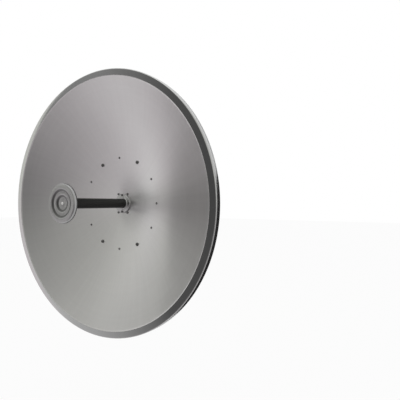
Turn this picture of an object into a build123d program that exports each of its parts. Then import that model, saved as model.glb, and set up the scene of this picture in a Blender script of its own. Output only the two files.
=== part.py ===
from build123d import *
import os
from math import radians, sin, cos, sqrt

os.makedirs("parts", exist_ok=True)

# Frame: the mast's axis is Z, the dish looks along -Y, and Z = 0 is the height of the dish's axis.
# Sizes are in millimetres.

# Clearances
SEAT_GAP = 0.05
BOLT_GAP = 0.3
SLIDE_GAP = 0.1
NUT_PLAY = 0.9

# Reflector
FOCAL = 308.0
VERTEX_Y = -140.4
APERTURE_R = 428.0
FLANGE_WIDTH = 22.0
RIM_LIP = 20.0
RIM_SHEET = 1.8
RIM_BEND = 3.0
DISH_SHEET = 2.0
RIM_R = APERTURE_R + FLANGE_WIDTH

# Backing ring
BOLT_CIRCLE_R = 166.5
RING_OUT_REACH = 10.5
RING_IN_REACH = 18.5
RING_STANDOFF = 4.4
RING_WALL = 4.0
RING_CHAMFER = 6.0
GROOVE_DEPTH = 2.6
GROOVE_FROM_BACK = 12.0
GROOVE_WIDTH = 7.5
BOSS_R = 8.0
BOLT_ANGLES = [30, 150, 210, 330]
RIVET_ANGLES = [0, 60, 90, 120, 180, 240, 270, 300]
RING_OUT_R = BOLT_CIRCLE_R + RING_OUT_REACH
RING_IN_R = BOLT_CIRCLE_R - RING_IN_REACH
RING_FLAT_R = RING_OUT_R - RING_CHAMFER
RING_BACK_Y = VERTEX_Y + RING_STANDOFF

# Ring fixings
RING_BOLT_R = 3.0
RING_BOLT_HEAD_R = 6.2
RING_BOLT_HEAD = 4.6
RING_NUT = 5.0
RING_BOLT_END = 7.0
RIVET_R = 2.4
RIVET_HEAD_R = 4.4
RIVET_HEAD = 2.5
RIVET_TAIL_R = 4.0

# Feed
TUBE_R = 17.0
TUBE_WALL = 1.5
TUBE_REACH = 279.6
TUBE_TAIL = 37.0
PLATE_R = 63.5
PLATE_EDGE_BACK = 10.0
PLATE_DEPTH = 21.5
PLATE_SPIGOT = 12.0
STEP_SLOPE = 8.5
STEP_ONE_R = 46.0
STEP_TWO_R = 27.5
STEP_DEPTH = 4.2
PLATE_SCREW_R = 2.0
TAIL_PLUG = 14.6
TAIL_LENGTH = 31.9
TAIL_STEP = 1.1
JACK_THREAD_R = 7.94
JACK_FLANGE_R = 12.7
JACK_FLANGE = 3.0
JACK_RECESS = 16.5
JACK_BELOW = 2.5
TUBE_FRONT_Y = VERTEX_Y - TUBE_REACH
TUBE_REAR_Y = VERTEX_Y + TUBE_TAIL
TAIL_R = TUBE_R - TAIL_STEP
TAIL_END_Y = TUBE_REAR_Y + TAIL_LENGTH
JACK_SEAT_Y = TAIL_END_Y - JACK_RECESS
JACK_END_Y = TAIL_END_Y - JACK_BELOW

# Hub on the face, and the collar behind
HUB_FLANGE = 18.0
HUB_RISE = 6.6
HUB_NECK_WALL = 5.5
HUB_NECK = 2.0
HUB_SCREW_INSET = 4.5
HUB_SCREW_HOLE_R = 2.5
OUTER_SCREW_OFFSET = 5.5
OUTER_SCREW_HOLE_R = 2.0
OUTER_SCREW_DEG = 32.9
COLLAR_WALL = 6.0
COLLAR_BASE_MARGIN = 7.5
COLLAR_BASE_RISE = 6.1
COLLAR_BASE = 6.0
LUG_HALF = 14.0
LUG_SLIT = 3.0
CLAMP_SCREW_DROP = 18.6
CLAMP_SCREW_INSET = 13.6
CLAMP_SCREW_R = 4.0
HUB_R = TUBE_R + HUB_FLANGE
HUB_FRONT_Y = VERTEX_Y - HUB_RISE
HUB_SCREW_R = HUB_R - HUB_SCREW_INSET
OUTER_SCREW_R = HUB_R + OUTER_SCREW_OFFSET
COLLAR_R = TUBE_R + COLLAR_WALL
COLLAR_BASE_R = OUTER_SCREW_R + COLLAR_BASE_MARGIN
COLLAR_BASE_Y = VERTEX_Y + COLLAR_BASE_RISE
FEED_HOLE_R = TUBE_R + BOLT_GAP + SLIDE_GAP

# Mast and U-bolts
MAST_R = 25.4
UBOLT_R = 4.0
UBOLT_REACH = 88.0
UBOLT_WASHER_R = 8.0
WASHER = 1.6
M8_FLATS = 13.0
M8_NUT = 6.5
NOTCH_R = MAST_R + SLIDE_GAP
LEG_X = MAST_R + BOLT_GAP + UBOLT_R

# Elevation hinge and its threaded adjuster
PIVOT_FROM_RING = 27.2
PIVOT_Z = -61.5
PIVOT_R = 5.0
PIVOT_FLATS = 17.0
PIVOT_HEAD = 6.9
PIVOT_WASHER_R = 10.5
PIVOT_WASHER = 2.0
THIN_WASHER = 0.9
ARM_PLATE = 4.0
ARM_ABOVE = 14.2
ARM_BELOW = 22.5
ARM_NOSE = 22.5
YOKE_SHEET = 4.0
PIN_DROP = 9.0
PIN_FROM_RING = 16.0
ROD_OFFSET = 22.3
ROD_R = 4.0
ROD_TILT_DEG = 2.5
ROD_END_Y = 85.6
EYE_R = 9.0
EYE_HALF = 3.0
CLEVIS_SHEET = 3.0
CLEVIS_HALF_GAP = 4.4
CLEVIS_SCREW_SHANK_R = 2.45
PIVOT_Y = RING_BACK_Y + PIVOT_FROM_RING
ARM_IN_X = LEG_X + UBOLT_WASHER_R + BOLT_GAP
ARM_OUT_X = ARM_IN_X + ARM_PLATE
ARM_TOP_Z = PIVOT_Z + ARM_ABOVE
ARM_LOW_Z = PIVOT_Z - ARM_BELOW
EAR_IN_X = ARM_OUT_X + THIN_WASHER + 2 * SEAT_GAP
EAR_OUT_X = EAR_IN_X + YOKE_SHEET
PIN_Y = RING_BACK_Y + PIN_FROM_RING
PIN_Z = BOLT_CIRCLE_R - PIN_DROP
ROD_X = LEG_X + ROD_OFFSET
CLEVIS_SCREWS = [(ROD_X - 13, PIN_Z - 0.5), (ROD_X + 13, PIN_Z - 9.5)]

# Mast bracket: a channel with a wide head at the rod's height and a saddle below the hinge
STEEL = 3.0
WEB_STANDOFF = 20.6
CHANNEL_DEPTH = 20.8
HEAD_RISE = 40.5
HEAD_HEIGHT = 67.0
HEAD_MARGIN = 12.3
SADDLE_MARGIN = 6.3
CHANNEL_INSET = 5.7
SADDLE_DROP = 29.5
SADDLE_HEIGHT = 46.0
NOTCH_HORN = 12.5
LUG_PLATE = 6.35
ARM_WEB = 3.95
UPPER_BOLT_DROP = 28.0
MIDDLE_BOLT_RISE = 2.5
LOWER_BOLT_DROP = 22.0
WEB_BACK_Y = -(MAST_R + WEB_STANDOFF)
WEB_FRONT_Y = WEB_BACK_Y - STEEL
BRACKET_TOP_Z = PIN_Z + HEAD_RISE
HEAD_LOW_Z = BRACKET_TOP_Z - HEAD_HEIGHT
SADDLE_TOP_Z = PIVOT_Z - SADDLE_DROP
BRACKET_LOW_Z = SADDLE_TOP_Z - SADDLE_HEIGHT
HEAD_HALF_X = LEG_X + HEAD_MARGIN
SADDLE_HALF_X = LEG_X + SADDLE_MARGIN
CHANNEL_HALF_X = LEG_X - CHANNEL_INSET
PLATE_REACH_Y = NOTCH_HORN - NOTCH_R
LUG_BACK_Y = WEB_FRONT_Y - SEAT_GAP
LUG_FRONT_Y = LUG_BACK_Y - LUG_PLATE
ARM_WEB_FRONT_Y = WEB_FRONT_Y - SEAT_GAP - ARM_WEB
UPPER_BOLT_Z = BRACKET_TOP_Z - UPPER_BOLT_DROP
MIDDLE_BOLT_Z = PIVOT_Z + MIDDLE_BOLT_RISE
LOWER_BOLT_Z = SADDLE_TOP_Z - LOWER_BOLT_DROP


def parabola_y(r, shift=0.0):
    return VERTEX_Y + shift - r * r / (4 * FOCAL)


def parabola(r0, r1, shift=0.0):
    """The exact curve between two radii, as a quadratic Bezier in the (r, y) plane."""
    middle = ((r0 + r1) / 2, VERTEX_Y + shift - r0 * r1 / (4 * FOCAL))
    return Bezier((r0, parabola_y(r0, shift)), middle, (r1, parabola_y(r1, shift)))


def spin(points):
    """A solid of revolution about the dish's axis from (r, y) points."""
    return revolve(make_face(Polyline(*points, close=True)), Axis.Y)


def bar(radius, start, end):
    """A round bar between two points."""
    way = Vector(*end) - Vector(*start)
    return extrude(Plane(origin=start, z_dir=way) * Circle(radius), way.length)


def prism(flats, start, end):
    """A hexagonal bar between two points, with the stated width across flats."""
    way = Vector(*end) - Vector(*start)
    return extrude(Plane(origin=start, z_dir=way) * RegularPolygon(flats / sqrt(3), 6), way.length)


def through(radius, start, end):
    """A cutter that runs 1 mm past both of the points."""
    step = (Vector(*end) - Vector(*start)).normalized()
    return bar(radius, tuple(Vector(*start) - step), tuple(Vector(*end) + step))


def washer(radius, bore, start, end):
    return bar(radius, start, end) - through(bore, start, end)


def nut(flats, bore, start, end):
    return prism(flats, start, end) - through(bore, start, end)


def block(x0, x1, y0, y1, z0, z1):
    return Pos((x0 + x1) / 2, (y0 + y1) / 2, (z0 + z1) / 2) * Box(abs(x1 - x0), abs(y1 - y0), abs(z1 - z0))


def plate_xz(points, y0, y1):
    """A flat plate outlined in (x, z), between two y."""
    face = Plane(origin=(0, y1, 0), x_dir=(1, 0, 0), z_dir=(0, -1, 0)) * make_face(Polyline(*points, close=True))
    return extrude(face, y1 - y0)


def plate_yz(points, x0, x1):
    """A flat plate outlined in (y, z), between two x."""
    face = Plane(origin=(x0, 0, 0), x_dir=(0, 1, 0), z_dir=(1, 0, 0)) * make_face(Polyline(*points, close=True))
    return extrude(face, x1 - x0)


def around(solid, angles):
    """Copies of a solid at the stated angles from the top of the dish."""
    return [Rot(0, a, 0) * solid for a in angles]


def save(shape, name):
    export_step(shape if isinstance(shape, Compound) else Compound(children=[shape]), f"parts/{name}.step")


def save_group(solids, name):
    export_step(Compound(children=list(solids)), f"parts/{name}.step")


# Where the fixings stand: on the ring's bolt circle, on the hub, and just outside the hub
CUT = 25.0
SPACE_R = RING_OUT_R + 24
ring_face_y = parabola_y(BOLT_CIRCLE_R)
outer_x = OUTER_SCREW_R * sin(radians(OUTER_SCREW_DEG))
outer_z = OUTER_SCREW_R * cos(radians(OUTER_SCREW_DEG))
outer_screws = [(outer_x, outer_z), (-outer_x, outer_z), (-outer_x, -outer_z), (outer_x, -outer_z)]
QUARTERS = [0, 90, 180, 270]


def on_ring(y):
    """The point of the bolt circle above the dish's axis, at a stated y."""
    return (0, y, BOLT_CIRCLE_R)


def on_hub(y):
    """The point of the hub's screw circle above the dish's axis, at a stated y."""
    return (0, y, HUB_SCREW_R)


def space(shift, end_y):
    """The space between a surface along the dish's curve and a flat end, used to seat parts on the curve."""
    rest = Polyline((SPACE_R, parabola_y(SPACE_R, shift)), (SPACE_R, end_y), (0, end_y),
                    (0, parabola_y(0, shift)))
    return revolve(make_face(parabola(0, SPACE_R, shift) + rest), Axis.Y)


front_space = space(-SEAT_GAP, VERTEX_Y - 160)
rear_space = space(DISH_SHEET + SEAT_GAP, VERTEX_Y + 80)


def ring_hole(radius, angles):
    """Holes on the bolt circle, through the dish and the whole ring."""
    return around(bar(radius, on_ring(ring_face_y - CUT), on_ring(RING_BACK_Y + CUT)), angles)


def hub_holes(radius):
    """Holes for the four hub screws, through the hub, the dish and the collar."""
    return around(bar(radius, on_hub(VERTEX_Y - CUT), on_hub(VERTEX_Y + CUT)), QUARTERS)


def outer_holes(radius):
    """Holes for the four screws beside the hub, through the dish and the collar."""
    return [bar(radius, (x, VERTEX_Y - CUT, z), (x, VERTEX_Y + CUT, z)) for x, z in outer_screws]


# Reflector: one spun sheet, with a flat front flange and a lip turned back
rim_y = parabola_y(APERTURE_R)
back_r = sqrt((DISH_SHEET - RIM_SHEET + APERTURE_R ** 2 / (4 * FOCAL)) * 4 * FOCAL)
inner_bend = RIM_BEND - RIM_SHEET
front_curve = parabola(FEED_HOLE_R, APERTURE_R)
back_curve = parabola(FEED_HOLE_R, back_r, DISH_SHEET)
flange_front = Line((APERTURE_R, rim_y), (RIM_R - RIM_BEND, rim_y))
bend_front = RadiusArc((RIM_R - RIM_BEND, rim_y), (RIM_R, rim_y + RIM_BEND), RIM_BEND)
lip_outline = Polyline((RIM_R, rim_y + RIM_BEND), (RIM_R, rim_y + RIM_LIP),
                       (RIM_R - RIM_SHEET, rim_y + RIM_LIP), (RIM_R - RIM_SHEET, rim_y + RIM_BEND))
bend_back = RadiusArc((RIM_R - RIM_SHEET, rim_y + RIM_BEND), (RIM_R - RIM_BEND, rim_y + RIM_SHEET),
                      -inner_bend)
flange_back = Line((RIM_R - RIM_BEND, rim_y + RIM_SHEET), (back_r, rim_y + RIM_SHEET))
hole_edge = Line((FEED_HOLE_R, parabola_y(FEED_HOLE_R)), (FEED_HOLE_R, parabola_y(FEED_HOLE_R, DISH_SHEET)))
front_outline = front_curve + flange_front + bend_front + lip_outline
back_outline = bend_back + flange_back + back_curve + hole_edge
reflector = revolve(make_face(front_outline + back_outline), Axis.Y)
reflector = reflector - ring_hole(RING_BOLT_R + BOLT_GAP, BOLT_ANGLES)
reflector = reflector - ring_hole(RIVET_R + BOLT_GAP, RIVET_ANGLES)
reflector = reflector - hub_holes(HUB_SCREW_HOLE_R + BOLT_GAP) - outer_holes(OUTER_SCREW_HOLE_R + BOLT_GAP)
save(reflector, "reflector")

# Backing ring: a cast channel open towards the dish, with a grooved wall and bosses for the fixings
in_y = parabola_y(RING_IN_R + RING_WALL, DISH_SHEET + SEAT_GAP)
out_y = parabola_y(RING_OUT_R, DISH_SHEET + SEAT_GAP)
wall_r = RING_OUT_R - GROOVE_DEPTH - 0.85 * RING_WALL
wall_y = parabola_y(wall_r, DISH_SHEET + SEAT_GAP)
groove_y = RING_BACK_Y - GROOVE_FROM_BACK
ring = spin([
    (RING_IN_R, RING_BACK_Y),
    (RING_FLAT_R, RING_BACK_Y),
    (RING_OUT_R - 1, RING_BACK_Y - RING_CHAMFER),
    (RING_OUT_R, RING_BACK_Y - RING_CHAMFER - 1.5),
    (RING_OUT_R, groove_y),
    (RING_OUT_R - GROOVE_DEPTH, groove_y - 1.5),
    (RING_OUT_R - GROOVE_DEPTH, groove_y - GROOVE_WIDTH + 1.5),
    (RING_OUT_R, groove_y - GROOVE_WIDTH),
    (RING_OUT_R, out_y),
    (wall_r, wall_y),
    (wall_r, RING_BACK_Y - RING_CHAMFER - 3),
    (RING_FLAT_R - 3, RING_BACK_Y - RING_WALL),
    (RING_IN_R + RING_WALL, RING_BACK_Y - RING_WALL),
    (RING_IN_R + RING_WALL, in_y),
    (RING_IN_R, in_y + 1.3),
])
boss = bar(BOSS_R, on_ring(ring_face_y - 12), on_ring(RING_BACK_Y - 1))
bosses = around(boss, BOLT_ANGLES + RIVET_ANGLES)
bosses += [bar(5.5, (x, RING_BACK_Y - 13, z), (x, RING_BACK_Y - 1, z)) for x, z in CLEVIS_SCREWS]
room_r = RING_OUT_R - GROOVE_DEPTH - 0.4
room_y = ring_face_y - 20
ring_room = spin([(RING_IN_R, room_y), (room_r, room_y), (room_r, RING_BACK_Y), (RING_IN_R, RING_BACK_Y)])
ring = ring + [b & rear_space & ring_room for b in bosses]
ring = ring - ring_hole(RING_BOLT_R + BOLT_GAP, BOLT_ANGLES) - ring_hole(RIVET_R + SLIDE_GAP, RIVET_ANGLES)
ring = ring - [bar(CLEVIS_SCREW_SHANK_R + SEAT_GAP, (x, RING_BACK_Y - 11, z), (x, RING_BACK_Y + 1, z))
               for x, z in CLEVIS_SCREWS]
save(ring, "backing_ring")

# Four bolts and eight rivets fix the dish to the ring
head_top = ring_face_y - RING_BOLT_HEAD
bolt_head = bar(RING_BOLT_HEAD_R, on_ring(head_top + 1), on_ring(ring_face_y + 3))
bolt_head = bolt_head + bar(RING_BOLT_HEAD_R - 1.2, on_ring(head_top), on_ring(head_top + 1.2))
yoke_back_y = RING_BACK_Y + YOKE_SHEET
nut_y = yoke_back_y + SEAT_GAP
bolt_end_y = nut_y + RING_NUT + RING_BOLT_END
ring_bolt = (bolt_head & front_space) + bar(RING_BOLT_R, on_ring(ring_face_y - 1), on_ring(bolt_end_y))
ring_bolt = ring_bolt - prism(4.0, on_ring(head_top - 1), on_ring(head_top + 2.4))
save_group(around(ring_bolt, BOLT_ANGLES), "ring_bolts")
ring_nut = nut(10, RING_BOLT_R, on_ring(nut_y), on_ring(nut_y + RING_NUT))
save_group(around(ring_nut, BOLT_ANGLES), "ring_nuts")
rivet_top = ring_face_y - RIVET_HEAD
rivet_head = bar(RIVET_HEAD_R, on_ring(rivet_top + 0.9), on_ring(ring_face_y + 2))
rivet_head = rivet_head + bar(RIVET_HEAD_R - 1.2, on_ring(rivet_top), on_ring(rivet_top + 1.1))
rivet_tail = spin([(0, 0), (RIVET_TAIL_R, 0), (RIVET_TAIL_R - 1, 1.8), (0, 2.2)])
rivet_tail = Pos(*on_ring(RING_BACK_Y + SEAT_GAP)) * rivet_tail
rivet_shank = bar(RIVET_R, on_ring(ring_face_y - 1), on_ring(RING_BACK_Y + 0.5))
save_group(around((rivet_head & front_space) + rivet_shank + rivet_tail, RIVET_ANGLES), "ring_rivets")

# Two pressed yoke plates lie on the ring's back and carry the hinge ears
corner_x = BOLT_CIRCLE_R * sin(radians(BOLT_ANGLES[0]))
corner_z = BOLT_CIRCLE_R * cos(radians(BOLT_ANGLES[0]))
plate_out_x = corner_x + 10.5
plate_in_x = corner_x - 9.5
plate_end_z = corner_z + 8
yoke_outline = [(plate_in_x, plate_end_z), (corner_x + 3.5, plate_end_z), (plate_out_x, corner_z - 1),
                (plate_out_x, 1 - corner_z), (corner_x + 3.5, -plate_end_z), (plate_in_x, -plate_end_z),
                (EAR_IN_X, PIVOT_Z - 46.5), (EAR_IN_X, PIVOT_Z + 32.5), (plate_in_x, 40)]
plate_y = RING_BACK_Y + SEAT_GAP
ear_outline = [(plate_y, PIVOT_Z - 43.5), (PIVOT_Y - 7.2, PIVOT_Z - 36.5), (PIVOT_Y + 8.8, PIVOT_Z - 16.5),
               (PIVOT_Y + 13.8, PIVOT_Z - 6.5), (PIVOT_Y + 14.8, PIVOT_Z + 1.5), (PIVOT_Y + 11.8, PIVOT_Z + 11.5),
               (PIVOT_Y + 4.8, PIVOT_Z + 18.5), (PIVOT_Y - 9.2, PIVOT_Z + 24.5), (plate_y, PIVOT_Z + 33.5)]
yoke = plate_xz(yoke_outline, plate_y, yoke_back_y) + plate_yz(ear_outline, EAR_IN_X, EAR_OUT_X)
yoke = yoke - ring_hole(RING_BOLT_R + BOLT_GAP, BOLT_ANGLES)
yoke_right = yoke - through(PIVOT_R + BOLT_GAP, (EAR_IN_X, PIVOT_Y, PIVOT_Z), (EAR_OUT_X, PIVOT_Y, PIVOT_Z))
save(yoke_right, "yoke_plate_right")
save(mirror(yoke_right, Plane.YZ), "yoke_plate_left")

# Rod clevis, screwed to the ring's back near the top
clevis_back_y = RING_BACK_Y + CLEVIS_SHEET
base_outline = [(ROD_X - 19, PIN_Z - 7.5), (ROD_X - 19, PIN_Z + 5.5), (ROD_X - 12, PIN_Z + 12.5),
                (ROD_X + 8, PIN_Z + 12.5), (ROD_X + 19, PIN_Z - 1.5), (ROD_X + 19, PIN_Z - 15.5),
                (ROD_X + 6, PIN_Z - 15.5)]
clevis = plate_xz(base_outline, plate_y, clevis_back_y)
ear_y = plate_y + 1
clevis_ear = [(ear_y, PIN_Z - 11.5), (PIN_Y + 2, PIN_Z - 10.5), (PIN_Y + 8, PIN_Z - 6.5), (PIN_Y + 10, PIN_Z),
              (PIN_Y + 8, PIN_Z + 6.5), (PIN_Y + 2, PIN_Z + 10.5), (ear_y, PIN_Z + 11.5)]
ear_in = CLEVIS_HALF_GAP
ear_out = CLEVIS_HALF_GAP + CLEVIS_SHEET
for ear_x in (ROD_X - ear_out, ROD_X + ear_in):
    clevis = clevis + plate_yz(clevis_ear, ear_x, ear_x + CLEVIS_SHEET)
clevis = clevis - through(ROD_R + SLIDE_GAP, (ROD_X - ear_out, PIN_Y, PIN_Z), (ROD_X + ear_out, PIN_Y, PIN_Z))
for x, z in CLEVIS_SCREWS:
    clevis = clevis - through(CLEVIS_SCREW_SHANK_R + BOLT_GAP, (x, plate_y, z), (x, clevis_back_y, z))
save(clevis, "rod_clevis")
screws = []
for x, z in CLEVIS_SCREWS:
    head_y = clevis_back_y + SEAT_GAP
    screw = bar(4.2, (x, head_y, z), (x, head_y + 3.4, z))
    screw = screw + bar(CLEVIS_SCREW_SHANK_R, (x, RING_BACK_Y - 10, z), (x, head_y + 1, z))
    screws.append(screw - prism(3.0, (x, head_y + 1.6, z), (x, head_y + 5, z)))
save_group(screws, "clevis_screws")
pin_seat = ear_out + SEAT_GAP
pin = bar(ROD_R, (ROD_X - pin_seat - 1, PIN_Y, PIN_Z), (ROD_X + pin_seat + 7.5, PIN_Y, PIN_Z))
pin = pin + prism(M8_FLATS, (ROD_X - pin_seat - 5.3, PIN_Y, PIN_Z), (ROD_X - pin_seat, PIN_Y, PIN_Z))
save(pin, "clevis_bolt")
pin_nut = nut(M8_FLATS, ROD_R, (ROD_X + pin_seat, PIN_Y, PIN_Z), (ROD_X + pin_seat + M8_NUT, PIN_Y, PIN_Z))
save(pin_nut, "clevis_nut")

# Elevation rod: an eye end on the clevis pin, then a long threaded shank past the mast
rod_way = Vector(0, cos(radians(ROD_TILT_DEG)), -sin(radians(ROD_TILT_DEG)))
pin_at = Vector(ROD_X, PIN_Y, PIN_Z)
rod_length = (ROD_END_Y - PIN_Y) / cos(radians(ROD_TILT_DEG))
eye = bar(EYE_R, (ROD_X - EYE_HALF, PIN_Y, PIN_Z), (ROD_X + EYE_HALF, PIN_Y, PIN_Z))
shank = bar(ROD_R, tuple(pin_at + rod_way * (ROD_R + 1.5)), tuple(pin_at + rod_way * rod_length))
rod = eye + shank - through(ROD_R + SLIDE_GAP, (ROD_X - ROD_R, PIN_Y, PIN_Z), (ROD_X + ROD_R, PIN_Y, PIN_Z))
save(rod, "elevation_rod")


def on_rod(y):
    """The point of the rod's axis at a stated y."""
    return pin_at + rod_way * ((y - PIN_Y) / cos(radians(ROD_TILT_DEG)))


# A washer and a nut on each side of the slotted lug, with a little play between them and the lug
washers = []
nuts = []
for start, way in ((LUG_FRONT_Y - NUT_PLAY, -1), (LUG_BACK_Y + NUT_PLAY, 1)):
    p0 = on_rod(start)
    p1 = p0 + rod_way * (WASHER * way)
    p2 = p1 + rod_way * (SEAT_GAP * way)
    p3 = p2 + rod_way * (M8_NUT * way)
    washers.append(washer(UBOLT_WASHER_R + 0.5, ROD_R + SLIDE_GAP, tuple(p0), tuple(p1)))
    nuts.append(nut(M8_FLATS, ROD_R + SLIDE_GAP, tuple(p2), tuple(p3)))
save_group(washers, "adjuster_washers")
save_group(nuts, "adjuster_nuts")

# Mast bracket: a folded channel whose web widens into the head and the saddle
shoulder = HEAD_HALF_X - CHANNEL_HALF_X
waist = SADDLE_HALF_X - CHANNEL_HALF_X
arm_room_z = ARM_TOP_Z + 5.3
web_right = [(HEAD_HALF_X, BRACKET_TOP_Z), (HEAD_HALF_X, HEAD_LOW_Z), (CHANNEL_HALF_X, HEAD_LOW_Z - shoulder),
             (CHANNEL_HALF_X, arm_room_z + waist), (SADDLE_HALF_X, arm_room_z), (SADDLE_HALF_X, BRACKET_LOW_Z)]
bracket = plate_xz(web_right + [(-x, z) for x, z in reversed(web_right)], WEB_FRONT_Y, WEB_BACK_Y)
leg_y = WEB_BACK_Y + CHANNEL_DEPTH
short_y = WEB_BACK_Y + 10
plates_low_z = HEAD_LOW_Z + STEEL + SEAT_GAP
plates_top_z = BRACKET_TOP_Z - STEEL - SEAT_GAP
flange_outline = [(WEB_FRONT_Y, HEAD_LOW_Z - SEAT_GAP), (leg_y, HEAD_LOW_Z - SEAT_GAP),
                  (leg_y, arm_room_z + 10), (leg_y - 3.8, arm_room_z + 6), (short_y, arm_room_z + 2),
                  (short_y, SADDLE_TOP_Z + 5), (short_y - 4, SADDLE_TOP_Z + SEAT_GAP),
                  (WEB_FRONT_Y, SADDLE_TOP_Z + SEAT_GAP)]
side_outline = [(WEB_FRONT_Y, plates_low_z), (WEB_FRONT_Y, plates_top_z),
                (PLATE_REACH_Y - 8, plates_top_z), (PLATE_REACH_Y - 8, plates_low_z)]
for outline, half_x in ((flange_outline, CHANNEL_HALF_X), (side_outline, HEAD_HALF_X)):
    bracket = bracket + plate_yz(outline, half_x - STEEL, half_x) + plate_yz(outline, -half_x, STEEL - half_x)


def leg_holes(z):
    """Holes for the two legs of a U-bolt."""
    ends = (WEB_FRONT_Y - 20, WEB_BACK_Y + 5)
    return [bar(UBOLT_R + BOLT_GAP, (x, ends[0], z), (x, ends[1], z)) for x in (-LEG_X, LEG_X)]


for z in (UPPER_BOLT_Z, MIDDLE_BOLT_Z, LOWER_BOLT_Z):
    bracket = bracket - leg_holes(z)
save(bracket, "mast_bracket")

# Four plates across the bracket, notched round the mast
NOTCH_CORNER = 6.0


def notched(half_x, z0):
    back_y = WEB_BACK_Y + SEAT_GAP
    points = [(-half_x, back_y), (half_x, back_y), (half_x, PLATE_REACH_Y - NOTCH_CORNER),
              (half_x - NOTCH_CORNER, PLATE_REACH_Y), (NOTCH_CORNER - half_x, PLATE_REACH_Y),
              (-half_x, PLATE_REACH_Y - NOTCH_CORNER)]
    plate = extrude(Plane.XY.offset(z0) * make_face(Polyline(*points, close=True)), STEEL)
    return plate - through(NOTCH_R, (0, 0, z0), (0, 0, z0 + STEEL))


plates = [notched(HEAD_HALF_X, BRACKET_TOP_Z - STEEL), notched(HEAD_HALF_X, HEAD_LOW_Z),
          notched(SADDLE_HALF_X, SADDLE_TOP_Z - STEEL), notched(SADDLE_HALF_X, BRACKET_LOW_Z)]
save_group(plates, "notched_plates")

# Upper clamp plate, with the slotted lug that the rod passes through
slot_z = on_rod((LUG_FRONT_Y + LUG_BACK_Y) / 2).Z
slot_half = ROD_R + 0.8
lug_x = ROD_X + 14
plate_outline = [(-HEAD_HALF_X, HEAD_LOW_Z), (-HEAD_HALF_X, BRACKET_TOP_Z - 4),
                 (4 - HEAD_HALF_X, BRACKET_TOP_Z), (HEAD_HALF_X - 4, BRACKET_TOP_Z),
                 (HEAD_HALF_X, BRACKET_TOP_Z - 4), (HEAD_HALF_X, slot_z + 17.3),
                 (HEAD_HALF_X + 6, slot_z + 13.3), (lug_x - 6, slot_z + 13.3), (lug_x, slot_z + 7.3),
                 (lug_x, HEAD_LOW_Z + 6), (lug_x - 6, HEAD_LOW_Z)]
clamp_plate = plate_xz(plate_outline, LUG_FRONT_Y, LUG_BACK_Y)
bevel_outline = [(LUG_FRONT_Y - 5, BRACKET_TOP_Z - 5), (LUG_FRONT_Y - 5, BRACKET_TOP_Z + 2),
                 (LUG_BACK_Y - 1.8, BRACKET_TOP_Z + 2), (LUG_FRONT_Y, BRACKET_TOP_Z - 4.5)]
bevel = plate_yz(bevel_outline, -HEAD_HALF_X - 8, HEAD_HALF_X + 8)
slot_top = slot_z + 3
slot_low = slot_z - 8
slot = block(ROD_X - slot_half, ROD_X + slot_half, LUG_FRONT_Y - 1, LUG_BACK_Y + 1, slot_low, slot_top)
slot = slot + through(slot_half, (ROD_X, LUG_FRONT_Y, slot_low), (ROD_X, LUG_BACK_Y, slot_low))
slot = slot + through(slot_half, (ROD_X, LUG_FRONT_Y, slot_top), (ROD_X, LUG_BACK_Y, slot_top))
clamp_plate = clamp_plate - bevel - leg_holes(UPPER_BOLT_Z) - slot
save(clamp_plate, "clamp_plate")

# Arm yoke: two side plates and a web, held by the middle U-bolt
arm_back_y = WEB_BACK_Y + 6.4
nose_y = PIVOT_Y - ARM_NOSE
arm_outline = [(arm_back_y, ARM_LOW_Z), (arm_back_y, ARM_TOP_Z), (nose_y + 7.3, ARM_TOP_Z),
               (nose_y + 2.3, ARM_TOP_Z - 2.2), (nose_y, ARM_TOP_Z - 6.7), (nose_y, ARM_LOW_Z + 14),
               (nose_y + 3.3, ARM_LOW_Z + 7), (nose_y + 10.3, ARM_LOW_Z)]
arm = block(-ARM_IN_X - 1, ARM_IN_X + 1, ARM_WEB_FRONT_Y, WEB_FRONT_Y - SEAT_GAP, ARM_LOW_Z, ARM_TOP_Z)
arm = arm + plate_yz(arm_outline, ARM_IN_X, ARM_OUT_X) + plate_yz(arm_outline, -ARM_OUT_X, -ARM_IN_X)
arm = arm - leg_holes(MIDDLE_BOLT_Z)
arm = arm - through(PIVOT_R + BOLT_GAP, (-ARM_OUT_X, PIVOT_Y, PIVOT_Z), (ARM_OUT_X, PIVOT_Y, PIVOT_Z))
save(arm, "arm_yoke")

# Pivot bolt, its nut, and washers outside and between the ears and the arms
outer_seat = EAR_OUT_X + PIVOT_WASHER + 2 * SEAT_GAP
pivot = bar(PIVOT_R, (-outer_seat - 2, PIVOT_Y, PIVOT_Z), (outer_seat + 11.9, PIVOT_Y, PIVOT_Z))
head_end = outer_seat + PIVOT_HEAD
pivot = pivot + prism(PIVOT_FLATS, (-head_end, PIVOT_Y, PIVOT_Z), (-outer_seat, PIVOT_Y, PIVOT_Z))
save(pivot, "pivot_bolt")
pivot_nut = nut(PIVOT_FLATS, PIVOT_R, (outer_seat, PIVOT_Y, PIVOT_Z), (outer_seat + 8.4, PIVOT_Y, PIVOT_Z))
save(pivot_nut, "pivot_nut")
washers = []
outer_washer = (EAR_OUT_X, PIVOT_WASHER, PIVOT_WASHER_R)
inner_washer = (ARM_OUT_X, THIN_WASHER, PIVOT_WASHER_R - 0.5)
for side in (-1, 1):
    for x0, thick, r in (outer_washer, inner_washer):
        start = (side * (x0 + SEAT_GAP), PIVOT_Y, PIVOT_Z)
        end = (side * (x0 + SEAT_GAP + thick), PIVOT_Y, PIVOT_Z)
        washers.append(washer(r, PIVOT_R + SLIDE_GAP, start, end))
save_group(washers, "pivot_washers")

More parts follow.
